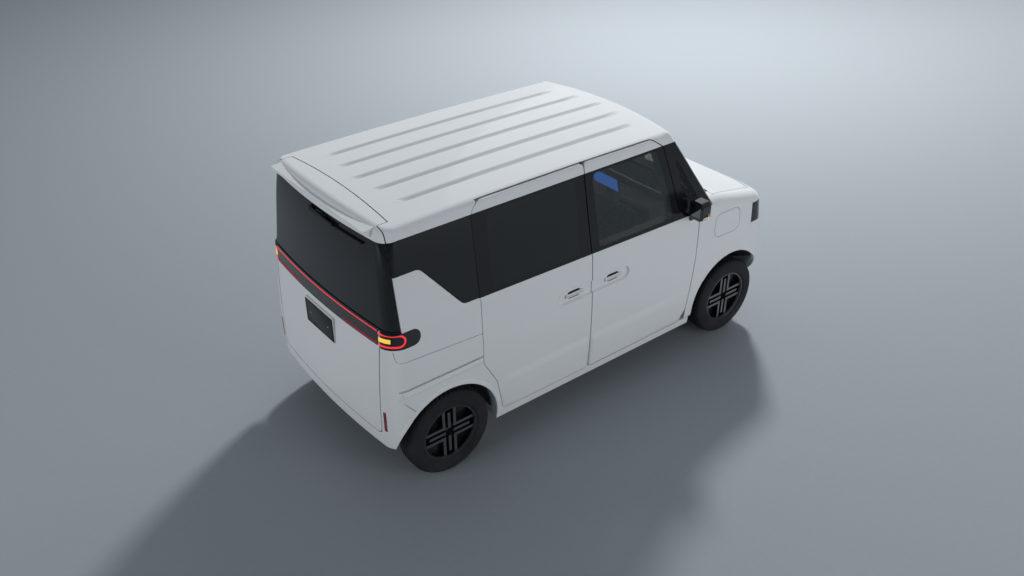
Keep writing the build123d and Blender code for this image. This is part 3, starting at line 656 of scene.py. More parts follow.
class Skin:
    """Finds points on the outside of the closed body at rest."""

    NAMES = (
        "body_side_right", "body_side_left", "roof_panel", "fender_right", "fender_left", "front_bumper",
        "rear_bumper", "bonnet", "front_door_right", "front_door_left", "slide_door_right",
        "slide_door_left", "tailgate", "tailgate_lamp", "tail_lamps", "headlamps", "charge_flap",
        "cowl_panel", "windscreen", "tailgate_glass", "quarter_glass", "slide_door_glass",
        "front_door_glass_right", "front_door_glass_left",
    )

    def __init__(self):
        verts, faces = [], []
        for name in self.NAMES:
            mesh = NODES[name].data
            start = len(verts)
            verts += [v.co.copy() for v in mesh.vertices]
            faces += [[start + i for i in p.vertices] for p in mesh.polygons]
        self.tree = BVHTree.FromPolygons(verts, faces)

    def shoot(self, origin, ahead):
        hit, normal, index, far = self.tree.ray_cast(Vector(origin), Vector(ahead).normalized())
        if hit is None:
            raise RuntimeError(f"no body surface from {tuple(origin)} towards {tuple(ahead)}")
        if normal.dot(Vector(ahead)) > 0:
            normal = -normal
        return hit, normal

    def side(self, x, z, side=-1):
        """Point on the right (-1) or left (1) side."""
        return self.shoot((x, side * 2.0, z), (0, -side, 0))

    def round(self, turn, z, centre=(-1.25, 0.0)):
        """Point seen from outside towards a centre: turn 0 is the tail, 90 the right side."""
        a = math.radians(turn)
        d = Vector((-math.cos(a), -math.sin(a), 0))
        return self.shoot(Vector((centre[0], centre[1], z)) + d * 2.0, -d)

    def tail(self, y, z):
        return self.shoot((-3.0, y, z), (1, 0, 0))

    def nose(self, y, z):
        return self.shoot((3.0, y, z), (-1, 0, 0))


SKIN = Skin()


def sweep_on_skin(bm, hits, section, lift=0.0):
    """Sweep a section along skin points, lifted off the surface."""
    add_sweep(bm, [h + n * lift for h, n in hits], section, ups=[n for h, n in hits])


def strip_on_skin(bm, hits, width, proud, sunk=0.002):
    """Flat strip laid along skin points, standing slightly proud."""
    half, thick = width / 2, (proud + sunk) / 2
    section = [
        (-half, -thick), (half, -thick), (half, thick * 0.6), (half * 0.7, thick), (-half * 0.7, thick),
        (-half, thick * 0.6),
    ]
    sweep_on_skin(bm, hits, section, (proud - sunk) / 2)


def between(n, value, low, high):
    return n.times(n.above(value, low), n.less(1.0, n.above(value, high)))


def in_sash(n, x, y, z):
    """Black band of the side windows, whose foot drops a little towards the front."""
    over = n.plus(z, n.times(x, BELT_DROP))
    return n.times(n.above(over, BELT_Z), n.less(1.0, n.above(z, BAND_Z)))


def in_pillars(n, x, y, z):
    return n.times(in_sash(n, x, y, z), n.above(x, -1.012))


def in_gate_black(n, x, y, z):
    return between(n, z, 1.168, 1.6965)


def in_grooves(n, x, y, z):
    """Valleys of the five roof grooves, a little shorter towards the sides, where shade is painted into the
    colour.
    """
    off = n.math("ABSOLUTE", y)
    near = n.math("PINGPONG", y, 0.1)
    valley = n.less(1.0, n.above(near, 0.0165, 0.0065), clamp=True)
    inside = n.less(1.0, n.above(off, 0.46), clamp=True)
    rear = n.above(n.less(x, n.times(off, 0.15)), -1.35, 0.05)
    front = n.above(n.plus(x, n.times(off, 0.26)), 0.53, 0.06)
    along = n.times(rear, n.less(1.0, front, clamp=True))
    return n.times(n.times(valley, inside), along)


def side_inward(n, nx, ny, nz, x, y, z):
    side = n.math("SIGN", y)
    return n.times(n.times(ny, side), -1.0)


def roof_inward(n, nx, ny, nz, x, y, z):
    return n.times(nz, -1.0)


def gate_inward(n, nx, ny, nz, x, y, z):
    return nx


class VAN_OT_panels(bpy.types.Operator):
    """Finish the painted panels, glass, chassis and other carried-over nodes"""

    bl_idname = "van.panels"
    bl_label = "Panels and nodes"

    def execute(self, context):
        tints = settings("glass")
        white = paint("pearl_white")
        door = paint("pearl_white_door", in_sash, side_inward)
        pillar = paint("pearl_white_pillar", in_pillars, side_inward)
        finish(white, "fender_right", "fender_left", "front_bumper", "rear_bumper", "bonnet", "charge_flap")
        # The roof's groove valleys are darkened grey as painted shade.
        finish(paint("pearl_white_roof", None, roof_inward, (0.16, 0.16, 0.158), in_grooves), "roof_panel")
        finish(paint("pearl_white_gate", in_gate_black, gate_inward), "tailgate")
        finish(door, "front_door_right", "front_door_left", "slide_door_right", "slide_door_left")
        finish(pillar, "body_side_right", "body_side_left")
        clear = glass("clear_glass", tuple(tints.clear_tint), 0.30)
        dark = glass("privacy_glass", tuple(tints.dark_tint), 0.94, lambda n, x, y, z: n.above(x, 0.3))
        finish(clear, "windscreen", "front_door_glass_right", "front_door_glass_left")
        finish(dark, "slide_door_glass", "tailgate_glass", "quarter_glass")
        black = gloss_black("gloss_black")
        finish(black, "mirror_right", "mirror_left", "tailgate_lamp", "tail_lamps")
        finish(glass("smoked_lens", (0.03, 0.032, 0.036), 0.75), "headlamps")
        trim = grained("grained_black", tuple(settings("paint").trim))
        finish(trim, "cowl_panel", "arch_liners")
        finish(grained("dash_plastic", (0.05, 0.052, 0.056), 0.55, 700.0), "dashboard")
        finish(grained("rim_leather", (0.03, 0.03, 0.032), 0.5, 600.0), "steering_wheel")
        finish(grained("primer_floor", (0.16, 0.165, 0.17), 0.6, 300.0), "floor_pan")
        finish(metal("battery_case", (0.38, 0.39, 0.41), 0.45, 200.0), "battery_pack")
        finish(metal("drive_case", (0.42, 0.43, 0.45), 0.5, 260.0), "drive_unit")
        steel = grained("chassis_black", (0.025, 0.025, 0.027), 0.45, 300.0, 0.2)
        finish(steel, "front_suspension", "front_struts", "rear_axle")
        cast = metal("cast_iron", (0.28, 0.27, 0.26), 0.55, 400.0, 0.4)
        finish(cast, "knuckle_right", "knuckle_left")
        seat = cloth("seat_cloth", (0.05, 0.05, 0.055), (0.11, 0.11, 0.12))
        finish(seat, "front_seats", "rear_seats")
        for name, (x, side) in AXLES.items():
            set_material(NODES["wheel_" + name], wheel_finish("wheel_finish_" + name, x, side))
        return {"FINISHED"}


class VAN_OT_tyres(bpy.types.Operator):
    """Build the four tyres with their tread and side rings"""

    bl_idname = "van.tyres"
    bl_label = "Tyres"

    def execute(self, context):
        look = settings("tyres")
        mat = rubber("tyre_rubber")
        for name, (x, side) in AXLES.items():
            bm = bmesh.new()
            self.build(bm, x, side, look.groove_depth, look.pitches)
            tyre = piece("tyre_dressed_" + name, bm, mat, "roll_" + name)
            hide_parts("tyre_" + name)
        return {"FINISHED"}

    @staticmethod
    def build(bm, x, side, depth, pitches):
        r = TYRE_R
        outer = [
            (0.1905, 0.0650), (0.1985, 0.0655), (0.1995, 0.0735), (0.2060, 0.0785), (0.2100, 0.0805),
            (0.2105, 0.0812), (0.2125, 0.0812), (0.2130, 0.0808), (0.2260, 0.0822), (0.2400, 0.0825),
            (0.2405, 0.0830), (0.2425, 0.0830), (0.2430, 0.0824), (0.2560, 0.0815), (0.2680, 0.0798),
            (0.2780, 0.0760), (0.2850, 0.0715), (0.2890, 0.0680), (0.2925, 0.0625), (0.2950, 0.0575),
        ]
        tread = [
            (r - 0.0012, 0.0520), (r - 0.0008, 0.0470), (r - 0.0006, 0.0340), (r - depth, 0.0330),
            (r - depth, 0.0270), (r - 0.0003, 0.0260), (r - 0.0001, 0.0080), (r - depth, 0.0070),
            (r - depth, 0.0010),
        ]
        right = outer + tread
        profile = [(a, b) for a, b in right] + [(a, -b) for a, b in reversed(right)]
        cuts = {j for j, (a, b) in enumerate(profile) if a > r - 0.0055 and abs(b) > 0.0079}
        steps = pitches * 4
        rings = []
        for k in range(steps):
            ring = []
            for j, (radius, along) in enumerate(profile):
                lean = (abs(along) - 0.02) * 0.9 / r
                a = 2 * math.pi * k / steps + (lean if radius > 0.29 else 0.9 * 0.0325 / r)
                rad = radius
                if j in cuts and abs(along) > 0.026 and k % 4 == 0:
                    rad -= depth * 0.75
                ring.append(
                    bm.verts.new(
                        (x + rad * math.cos(a), side * WHEEL_Y + along, TYRE_R + rad * math.sin(a))
                    )
                )
            rings.append(ring)
        m = len(profile)
        for k in range(steps):
            one, two = rings[k], rings[(k + 1) % steps]
            for j in range(m):
                bm.faces.new((one[j], one[(j + 1) % m], two[(j + 1) % m], two[j]))


class VAN_OT_lamps(bpy.types.Operator):
    """Lay the lit lines, the amber blocks, reflectors and head lamp optics"""

    bl_idname = "van.lamps"
    bl_label = "Lamps"

    def execute(self, context):
        look = settings("paint")
        red = lit("lit_red", tuple(look.lamp_red), look.lamp_strength)
        dim = lit("dim_red", tuple(look.lamp_red), look.lamp_strength * 0.22)
        amber = lit("lit_amber", (1.0, 0.60, 0.08), 0.95, (0.2, 0.08, 0.01))
        reflector = grained("reflector_red", (0.20, 0.012, 0.012), 0.25, 240.0, 0.35, Coat_Weight=1.0)
        bm = bmesh.new()
        ys = [i * 0.02 - 0.60 for i in range(61)]
        strip_on_skin(bm, [SKIN.tail(y, 1.1615) for y in ys], 0.0065, 0.002)
        piece("light_line_upper", bm, red, "gate")
        bm = bmesh.new()
        for s in (-1, 1):
            ys = [s * (0.28 + i * 0.02) for i in range(17)]
            strip_on_skin(bm, [SKIN.tail(y, 1.080) for y in ys], 0.004, 0.002)
            for i in range(46):
                y = s * (0.26 + i * 0.0075)
                strip_on_skin(bm, [SKIN.tail(y, 1.0845), SKIN.tail(y + s * 0.004, 1.0925)], 0.0016, 0.0016)
        piece("light_line_lower", bm, dim, "gate")
        bm = bmesh.new()
        amb = bmesh.new()
        for s in (-1, 1):
            hits = []
            a0, a1 = 57.7, 66.2
            for i in range(9):
                hits.append(SKIN.round(s * (a0 + (a1 - a0) * i / 8), 1.1525))
            for i in range(1, 12):
                t = math.pi * i / 12
                hits.append(SKIN.round(s * (a1 + 2.7 * math.sin(t)), 1.1165 + 0.036 * math.cos(t)))
            for i in range(9):
                hits.append(SKIN.round(s * (a1 + (a0 - a1) * i / 8), 1.0805))
            strip_on_skin(bm, hits, 0.011, 0.003)
            block = [SKIN.round(s * (57.9 + i * 0.6), 1.1165) for i in range(9)]
            strip_on_skin(amb, block, 0.026, 0.0035)
        piece("light_loops", bm, red, "body")
        piece("turn_blocks", amb, amber, "body")
        bm = bmesh.new()
        for s in (-1, 1):
            hits = [SKIN.round(s * 57.6, 0.480 + i * 0.014) for i in range(11)]
            strip_on_skin(bm, hits, 0.021, 0.003)
        piece("rear_reflectors", bm, reflector, "body")
        white = lit("day_light", (0.85, 0.92, 1.0), 0.55, (0.3, 0.32, 0.34))
        bm = bmesh.new()
        for s in (-1, 1):
            for z, y0, y1 in ((1.022, 0.475, 0.640), (0.896, 0.475, 0.640)):
                ys = [s * (y0 + (y1 - y0) * i / 12) for i in range(13)]
                strip_on_skin(bm, [SKIN.nose(y, z) for y in ys], 0.007, 0.0015)
        piece("day_lights", bm, white, "body")
        bm = bmesh.new()
        for s in (-1, 1):
            for y in (0.500, 0.560, 0.620):
                hit, normal = SKIN.nose(s * y, 0.960)
                add_box(
                    bm, hit + Vector((-0.012, -0.021, -0.028)), hit + Vector((0.0012, 0.021, 0.028)), 0.006,
                    3,
                )
        piece(
            "beam_modules", bm, metal("beam_chrome", (0.55, 0.56, 0.58), 0.2, 300.0, 0.05), "body",
        )
        return {"FINISHED"}


def cushion(bm, low, high, crown, pull, channels=(), along=0, cells=(22, 22, 8), lean=None):
    """Crowned pad between two corners: round edges, sides pulled in, sewn channels across it."""
    low, high = Vector(low), Vector(high)
    mid, half = (low + high) / 2, (high - low) / 2
    grid = {}

    def vert(u, v, w):
        key = (round(u, 6), round(v, 6), round(w, 6))
        if key in grid:
            return grid[key]
        k = 5.0
        size = (abs(u) ** k + abs(v) ** k + abs(w) ** k) ** (1 / k)
        top = max(abs(u), abs(v), abs(w))
        q = [c * top / size if size else 0.0 for c in (u, v, w)]
        bulge = (1 - q[0] ** 4) * (1 - q[1] ** 4)
        x = q[0] * (1 - pull * (1 - q[1] ** 2) * abs(q[0]))
        y = q[1] * (1 - pull * (1 - q[0] ** 2) * abs(q[1]))
        z = q[2] * (1 - crown + crown * bulge)
        place = (q[0], q[1])[along]
        dent = sum(math.exp(-(((place - c) / 0.035) ** 2)) for c in channels)
        ripple = 0.010 * math.sin(9.0 * q[0] + 2.0) * math.sin(7.0 * q[1] + 1.0)
        if q[2] > 0:
            z -= 0.16 * dent * q[2] * (1 - 0.5 * abs(q[1 - along]) ** 6)
        z += ripple * (1 - abs(q[0]) ** 4) * (1 - abs(q[1]) ** 4)
        at = Vector((x * half.x, y * half.y, z * half.z))
        grid[key] = bm.verts.new(at)
        return grid[key]

    def face(axis, sign):
        others = [a for a in (0, 1, 2) if a != axis]
        na, nb = cells[others[0]], cells[others[1]]
        for i in range(na):
            for j in range(nb):
                corners = []
                for di, dj in ((0, 0), (1, 0), (1, 1), (0, 1)):
                    p = [0.0, 0.0, 0.0]
                    p[axis] = float(sign)
                    p[others[0]] = -1 + 2 * (i + di) / na
                    p[others[1]] = -1 + 2 * (j + dj) / nb
                    corners.append(vert(*p))
                bm.faces.new(corners)

    for axis in (0, 1, 2):
        for sign in (-1, 1):
            face(axis, sign)
    for v in grid.values():
        v.co = (lean @ v.co if lean else v.co) + mid


def pad(name, low, high, crown, pull, channels, along, mat, turn=0.0):
    bm = bmesh.new()
    lean = Matrix.Rotation(turn, 3, "Y") if turn else None
    cushion(bm, low, high, crown, pull, channels, along, lean=lean)
    obj = piece(name, bm, mat, "body")
    return obj


class VAN_OT_seats(bpy.types.Operator):
    """Upholster the four seats with crowned, sewn cushions"""

    bl_idname = "van.seats"
    bl_label = "Seats"

    def execute(self, context):
        mat = MATS["seat_cloth"]
        side = cloth("seat_side_cloth", (0.022, 0.022, 0.024), (0.045, 0.045, 0.05), 900.0)
        shell = grained("seat_base_plastic", (0.03, 0.03, 0.032), 0.6, 800.0)
        steel = metal("seat_rail_steel", (0.35, 0.35, 0.36), 0.4)
        made = {"front_seats": [], "rear_seats": []}
        for tag, s in (("right", -1), ("left", 1)):
            y = s * FRONT_SEAT_Y
            front = made["front_seats"]
            front.append(
                pad(
                    "front_cushion_" + tag, (-0.055, y - 0.168, 0.485), (0.415, y + 0.168, 0.612), 0.22,
                    0.03, (-0.45, 0.0, 0.45), 0, mat, math.radians(-4),
                )
            )
            front.append(
                pad(
                    "front_back_" + tag, (-0.315, y - 0.160, 0.765), (0.250, y + 0.160, 0.895), 0.25, 0.04,
                    (-0.5, -0.1, 0.3), 0, mat, math.radians(-98),
                )
            )
            for w in (-1, 1):
                front.append(
                    pad(
                        f"front_cushion_wing_{tag}_{'in' if w == -s else 'out'}",
                        (-0.050, y + w * 0.196 - 0.034, 0.480), (0.400, y + w * 0.196 + 0.034, 0.628), 0.15,
                        0.02, (), 0, side, math.radians(-4),
                    )
                )
                front.append(
                    pad(
                        f"front_back_wing_{tag}_{'in' if w == -s else 'out'}",
                        (-0.300, y + w * 0.190 - 0.033, 0.750), (0.240, y + w * 0.190 + 0.033, 0.905), 0.15,
                        0.03, (), 0, side, math.radians(-98),
                    )
                )
            front.append(
                pad(
                    "front_head_" + tag, (-0.180, y - 0.128, 1.190), (-0.010, y + 0.128, 1.285), 0.2, 0.08,
                    (), 0, mat, math.radians(-96),
                )
            )
            y = s * REAR_SEAT_Y
            rear = made["rear_seats"]
            rear.append(
                pad(
                    "rear_cushion_" + tag, (-0.960, y - 0.205, 0.450), (-0.462, y + 0.205, 0.568), 0.25,
                    0.03, (-0.4, 0.15, 0.6), 0, mat, 0.0,
                )
            )
            rear.append(
                pad(
                    "rear_back_" + tag, (-1.225, y - 0.205, 0.735), (-0.700, y + 0.205, 0.855), 0.25, 0.03,
                    (-0.5, 0.0, 0.5), 0, mat, math.radians(-98),
                )
            )
            rear.append(
                pad(
                    "rear_head_" + tag, (-1.080, y - 0.108, 1.105), (-0.955, y + 0.108, 1.175), 0.2, 0.08,
                    (), 0, mat, math.radians(-96),
                )
            )
        bm = bmesh.new()
        for s in (-1, 1):
            y = s * FRONT_SEAT_Y
            add_box(bm, (-0.06, y - 0.225, 0.430), (0.405, y + 0.225, 0.488), 0.018, 3)
            for w in (-0.175, 0.175):
                add_box(bm, (-0.02, y + w - 0.022, 0.3225), (0.38, y + w + 0.022, 0.345), 0.004)
                add_box(bm, (0.02, y + w - 0.012, 0.343), (0.34, y + w + 0.012, 0.435), 0.006)
            y = s * REAR_SEAT_Y
            add_box(bm, (-0.86, y - 0.19, 0.425), (-0.50, y + 0.19, 0.455), 0.012, 3)
            for w in (-0.15, 0.15):
                add_box(bm, (-0.82, y + w - 0.018, 0.3225), (-0.56, y + w + 0.018, 0.428), 0.006)
        piece("seat_bases", bm, shell, "body")
        bm = bmesh.new()
        for s in (-1, 1):
            for w in (-0.05, 0.05):
                add_tube(
                    bm, [(-0.083, s * FRONT_SEAT_Y + w, 1.09), (-0.094, s * FRONT_SEAT_Y + w, 1.17)], 0.006,
                )
                add_tube(
                    bm, [(-0.995, s * REAR_SEAT_Y + w, 1.035), (-1.008, s * REAR_SEAT_Y + w, 1.09)], 0.006,
                )
        piece("head_rods", bm, steel, "body")
        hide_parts("front_seats")
        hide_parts("rear_seats")
        return {"FINISHED"}


class VAN_OT_cabin(bpy.types.Operator):
    """Dress the dashboard, the steering wheel and the display"""

    bl_idname = "van.cabin"
    bl_label = "Cabin"

    def execute(self, context):
        screen = lit("display_blue", (0.06, 0.22, 0.75), 0.75, (0.01, 0.02, 0.05))
        black = gloss_black("gloss_black")
        silver = metal("satin_silver", (0.62, 0.63, 0.65), 0.25, 300.0, 0.05)
        turn = Matrix.Translation((0.655, -0.010, 1.190)) @ Matrix.Rotation(math.radians(-14), 4, "Y")
        bm = bmesh.new()
        add_box(bm, (-0.008, -0.135, -0.060), (0.008, 0.135, 0.060), 0.006, 3, turn)
        add_box(bm, (0.006, -0.03, -0.115), (0.04, 0.03, 0.0), 0.008, 2, turn)
        piece("display_case", bm, black, "body")
        bm = bmesh.new()
        add_box(bm, (-0.0092, -0.127, -0.053), (-0.0078, 0.127, 0.053), 0.0006, 1, turn)
        piece("display_face", bm, screen, "body")
        bm = bmesh.new()
        cluster = Matrix.Translation((0.600, -FRONT_SEAT_Y, 1.095)) @ Matrix.Rotation(
            math.radians(-16), 4, "Y",
        )
        add_box(bm, (-0.010, -0.13, -0.045), (0.05, 0.13, 0.045), 0.012, 3, cluster)
        piece(
            "cluster_case", bm, grained("cluster_black", (0.012, 0.012, 0.013), 0.4, 700.0), "body",
        )
        bm = bmesh.new()
        for y0, y1 in ((-0.56, -0.18), (0.18, 0.56)):
            for i in range(5):
                z = 0.905 + i * 0.011
                add_box(bm, (0.5540, y0 + 0.02, z), (0.5612, y0 + 0.11, z + 0.004), 0.0012, 1)
                add_box(bm, (0.5540, y1 - 0.11, z), (0.5612, y1 - 0.02, z + 0.004), 0.0012, 1)
        add_box(bm, (0.5545, -0.58, 0.870), (0.5610, 0.58, 0.876), 0.002, 2)
        piece("dash_vents", bm, silver, "body")
        centre = Vector((0.470, -FRONT_SEAT_Y, 0.964))
        axis = Vector((-115, 0, 49)).normalized()
        across = Vector((0, 1, 0))
        up = axis.cross(across).normalized()
        if up.z < 0:
            up = -up
        bm = bmesh.new()
        for a0, a1, r in ((200, 340, 0.115), (20, 160, 0.180)):
            pts = []
            for i in range(17):
                a = math.radians(a0 + (a1 - a0) * i / 16)
                lift = 0.0165 if r > 0.15 else 0.009
                pts.append(centre + (across * math.cos(a) + up * math.sin(a)) * r + axis * lift)
            if r < 0.15:
                pts = [centre + across * 0.150 * c + up * (-0.025 - 0.045 * (1 - c * c)) + axis * 0.0085
                       for c in [i / 8 - 1 for i in range(17)]]
            add_tube(bm, pts, 0.0028, 8)
        piece("helm_silver", bm, silver, "helm")
        bm = bmesh.new()
        frame_turn = Matrix((axis, across, up)).transposed().to_4x4()
        add_box(
            bm, (0.010, -0.062, -0.052), (0.034, 0.062, 0.048), 0.014, 4,
            Matrix.Translation(centre) @ frame_turn,
        )
        piece(
            "helm_pad", bm, grained("helm_pad_black", (0.02, 0.02, 0.022), 0.55, 900.0), "helm",
        )
        return {"FINISHED"}


class VAN_OT_trim(bpy.types.Operator):
    """Fit the plate, wipers, handle inlays, mirror faces, seams and intake"""

    bl_idname = "van.trim"
    bl_label = "Trim"

    def execute(self, context):
        black = grained("trim_satin", (0.012, 0.012, 0.013), 0.45, 800.0, 0.2)
        chrome = metal("bright_chrome", (0.72, 0.73, 0.75), 0.12, 300.0, 0.04)
        bm = bmesh.new()
        add_box(bm, (-1.6945, -0.165, 0.864), (-1.6905, 0.165, 1.029), 0.0016, 2)
        rim = [
            (-1.6950, y, z) for y, z in ((-0.160, 0.869), (0.160, 0.869), (0.160, 1.024), (-0.160, 1.024))
        ]
        add_sweep(bm, rim, [(-0.003, -0.0008), (0.003, -0.0008), (0.002, 0.0010), (-0.002, 0.0010)], True,
                  [(-1, 0, 0)] * 4)
        piece(
            "rear_plate", bm, grained("plate_black", (0.006, 0.006, 0.007), 0.38, 600.0, 0.12), "gate",
        )
        bm = bmesh.new()
        for y in (-0.105, 0.105):
            add_lathe(
                bm,
                [(0.0, -1.6962), (0.0035, -1.6960), (0.0058, -1.6950), (0.0062, -1.6940), (0.0, -1.6940)],
                (0.0, y, PLATE_HOLE_Z), "X", 20,
            )
        piece("plate_screws", bm, chrome, "gate")

        bm = bmesh.new()
        blade = [SKIN.tail(0.04 - i * 0.03, 1.648) for i in range(18)]
        sweep_on_skin(bm, blade, REAR_BLADE, 0.012)
        arm = [SKIN.tail(0.06 - i * 0.02, 1.668 - i * 0.0012) for i in range(14)]
        sweep_on_skin(bm, arm, REAR_ARM, 0.020)
        hit, normal = SKIN.tail(0.06, 1.666)
        add_lathe(
            bm,
            [(0.0, 0.0), (0.016, 0.0), (0.018, -0.004), (0.018, -0.020), (0.013, -0.026), (0.0, -0.027)],
            hit, "X", 24,
        )
        piece("rear_wiper", bm, black, "gate")

        bm = bmesh.new()
        for y0, y1, z0, z1 in ((0.50, -0.02, 1.232, 1.262), (-0.06, -0.52, 1.232, 1.262)):
            hits = [SKIN.nose(y0 + (y1 - y0) * i / 16, z0 + (z1 - z0) * i / 16) for i in range(17)]
            sweep_on_skin(bm, hits, FRONT_BLADE, 0.014)
            arm = [
                SKIN.nose(
                    y0 + (y1 - y0) * i / 16, 1.212 + (z0 + (z1 - z0) * 0.55 - 1.212) * i / 9,
                ) for i in range(10)
            ]
            sweep_on_skin(bm, arm, FRONT_ARM, 0.022)
        piece("front_wipers", bm, black, "body")

        for tag, s, body in (("right", -1, "door_right"), ("left", 1, "door_left")):
            for kind, holder, near, far in (
                ("front", body, -0.008, 0.132), ("slide", "body", -0.345, -0.203),
            ):
                bright = bmesh.new()
                dark = bmesh.new()
                add_box(
                    bright, (near, s * 0.7327 - 0.0008, 0.9310), (far, s * 0.7327 + 0.0008, 0.9352), 0.0005,
                    1,
                )
                add_box(
                    dark, (near + PULL_INSET, s * 0.7015 - 0.0012, 0.910),
                    (far - PULL_INSET, s * 0.7015 + 0.0012, 0.955), 0.001, 1,
                )
                piece(kind + "_pull_line_" + tag, bright, chrome, holder)
                piece(kind + "_pull_cup_" + tag, dark, black, holder)
            glass_bm = bmesh.new()
            add_box(
                glass_bm, (0.7165, s * 0.812 - 0.040, 1.190), (0.7188, s * 0.812 + 0.040, 1.278), 0.0010, 2,
            )
            piece(
                "mirror_face_" + tag, glass_bm,
                metal("mirror_silver", (0.20, 0.21, 0.22), 0.05, 60.0, 0.01), body,
            )
            lens = bmesh.new()
            add_box(lens, (0.728, s * 0.866 - 0.006, 1.184), (0.775, s * 0.866 + 0.0055, 1.214), 0.004, 3)
            piece(
                "mirror_lens_" + tag, lens, glass("clear_lens", (0.75, 0.78, 0.8), 0.85), body,
            )
            amber = bmesh.new()
            add_box(amber, (0.776, s * 0.866 - 0.006, 1.182), (0.788, s * 0.866 + 0.0058, 1.220), 0.003, 2)
            piece("mirror_amber_" + tag, amber, MATS["lit_amber"], body)

        seam = grained("seam_black", (0.01, 0.01, 0.011), 0.7, 900.0, 0.1)
        bm = bmesh.new()
        for s in (-1, 1):
            hits = [SKIN.side(-1.000 - 0.0155 * i, 0.942 + 0.00085 * i, s) for i in range(38)]
            hits += [SKIN.side(-1.592, 0.986, s), SKIN.side(-1.597, 1.010, s), SKIN.side(-1.602, 1.050, s)]
            strip_on_skin(bm, hits, 0.0026, 0.0005)
            hits = [SKIN.side(-1.496 - 0.0110 * i, 0.597 + 0.01375 * i, s) for i in range(11)]
            hits += [SKIN.round(s * (90 - 26.0 - 2.6 * i), 0.7352) for i in range(1, 4)]
            strip_on_skin(bm, hits, 0.0030, 0.0005)
            hits = [SKIN.side(-1.010 - 0.0150 * i, 0.7785, s) for i in range(39)]
            strip_on_skin(bm, hits, 0.0075, 0.0012)
            add_box(bm, (-1.0125, s * 0.716 - 0.006, 0.762), (-0.994, s * 0.716 + 0.006, 0.783), 0.002)
        piece("body_seams", bm, seam, "body")

        bm = bmesh.new()
        for i in range(6):
            z = 0.346 + i * 0.021
            path = [(1.668 - 0.075 * (y / 0.72) ** 2, y, z) for y in [k * 0.04 - 0.40 for k in range(21)]]
            add_sweep(
                bm, path,
                [(-0.010, -0.003), (0.010, -0.003), (0.010, 0.002), (0.0, 0.005), (-0.010, 0.002)],
            )
        for k in range(9):
            y = -0.36 + k * 0.09
            add_box(
                bm, (1.640 - 0.075 * (y / 0.72) ** 2, y - 0.003, 0.338),
                (1.655 - 0.075 * (y / 0.72) ** 2, y + 0.003, 0.462), 0.001, 1,
            )
        piece("intake_slats", bm, black, "body")
        # Painted shade: a black plate behind the slats stands for the dark depth of the intake.
        bm = bmesh.new()
        path = [(1.628 - 0.075 * (y / 0.72) ** 2, y, 0.400) for y in [k * 0.04 - 0.44 for k in range(23)]]
        add_sweep(bm, path, [(-0.004, -0.085), (0.004, -0.085), (0.004, 0.085), (-0.004, 0.085)])
        piece("intake_shade_plate", bm, black, "body")
        return {"FINISHED"}


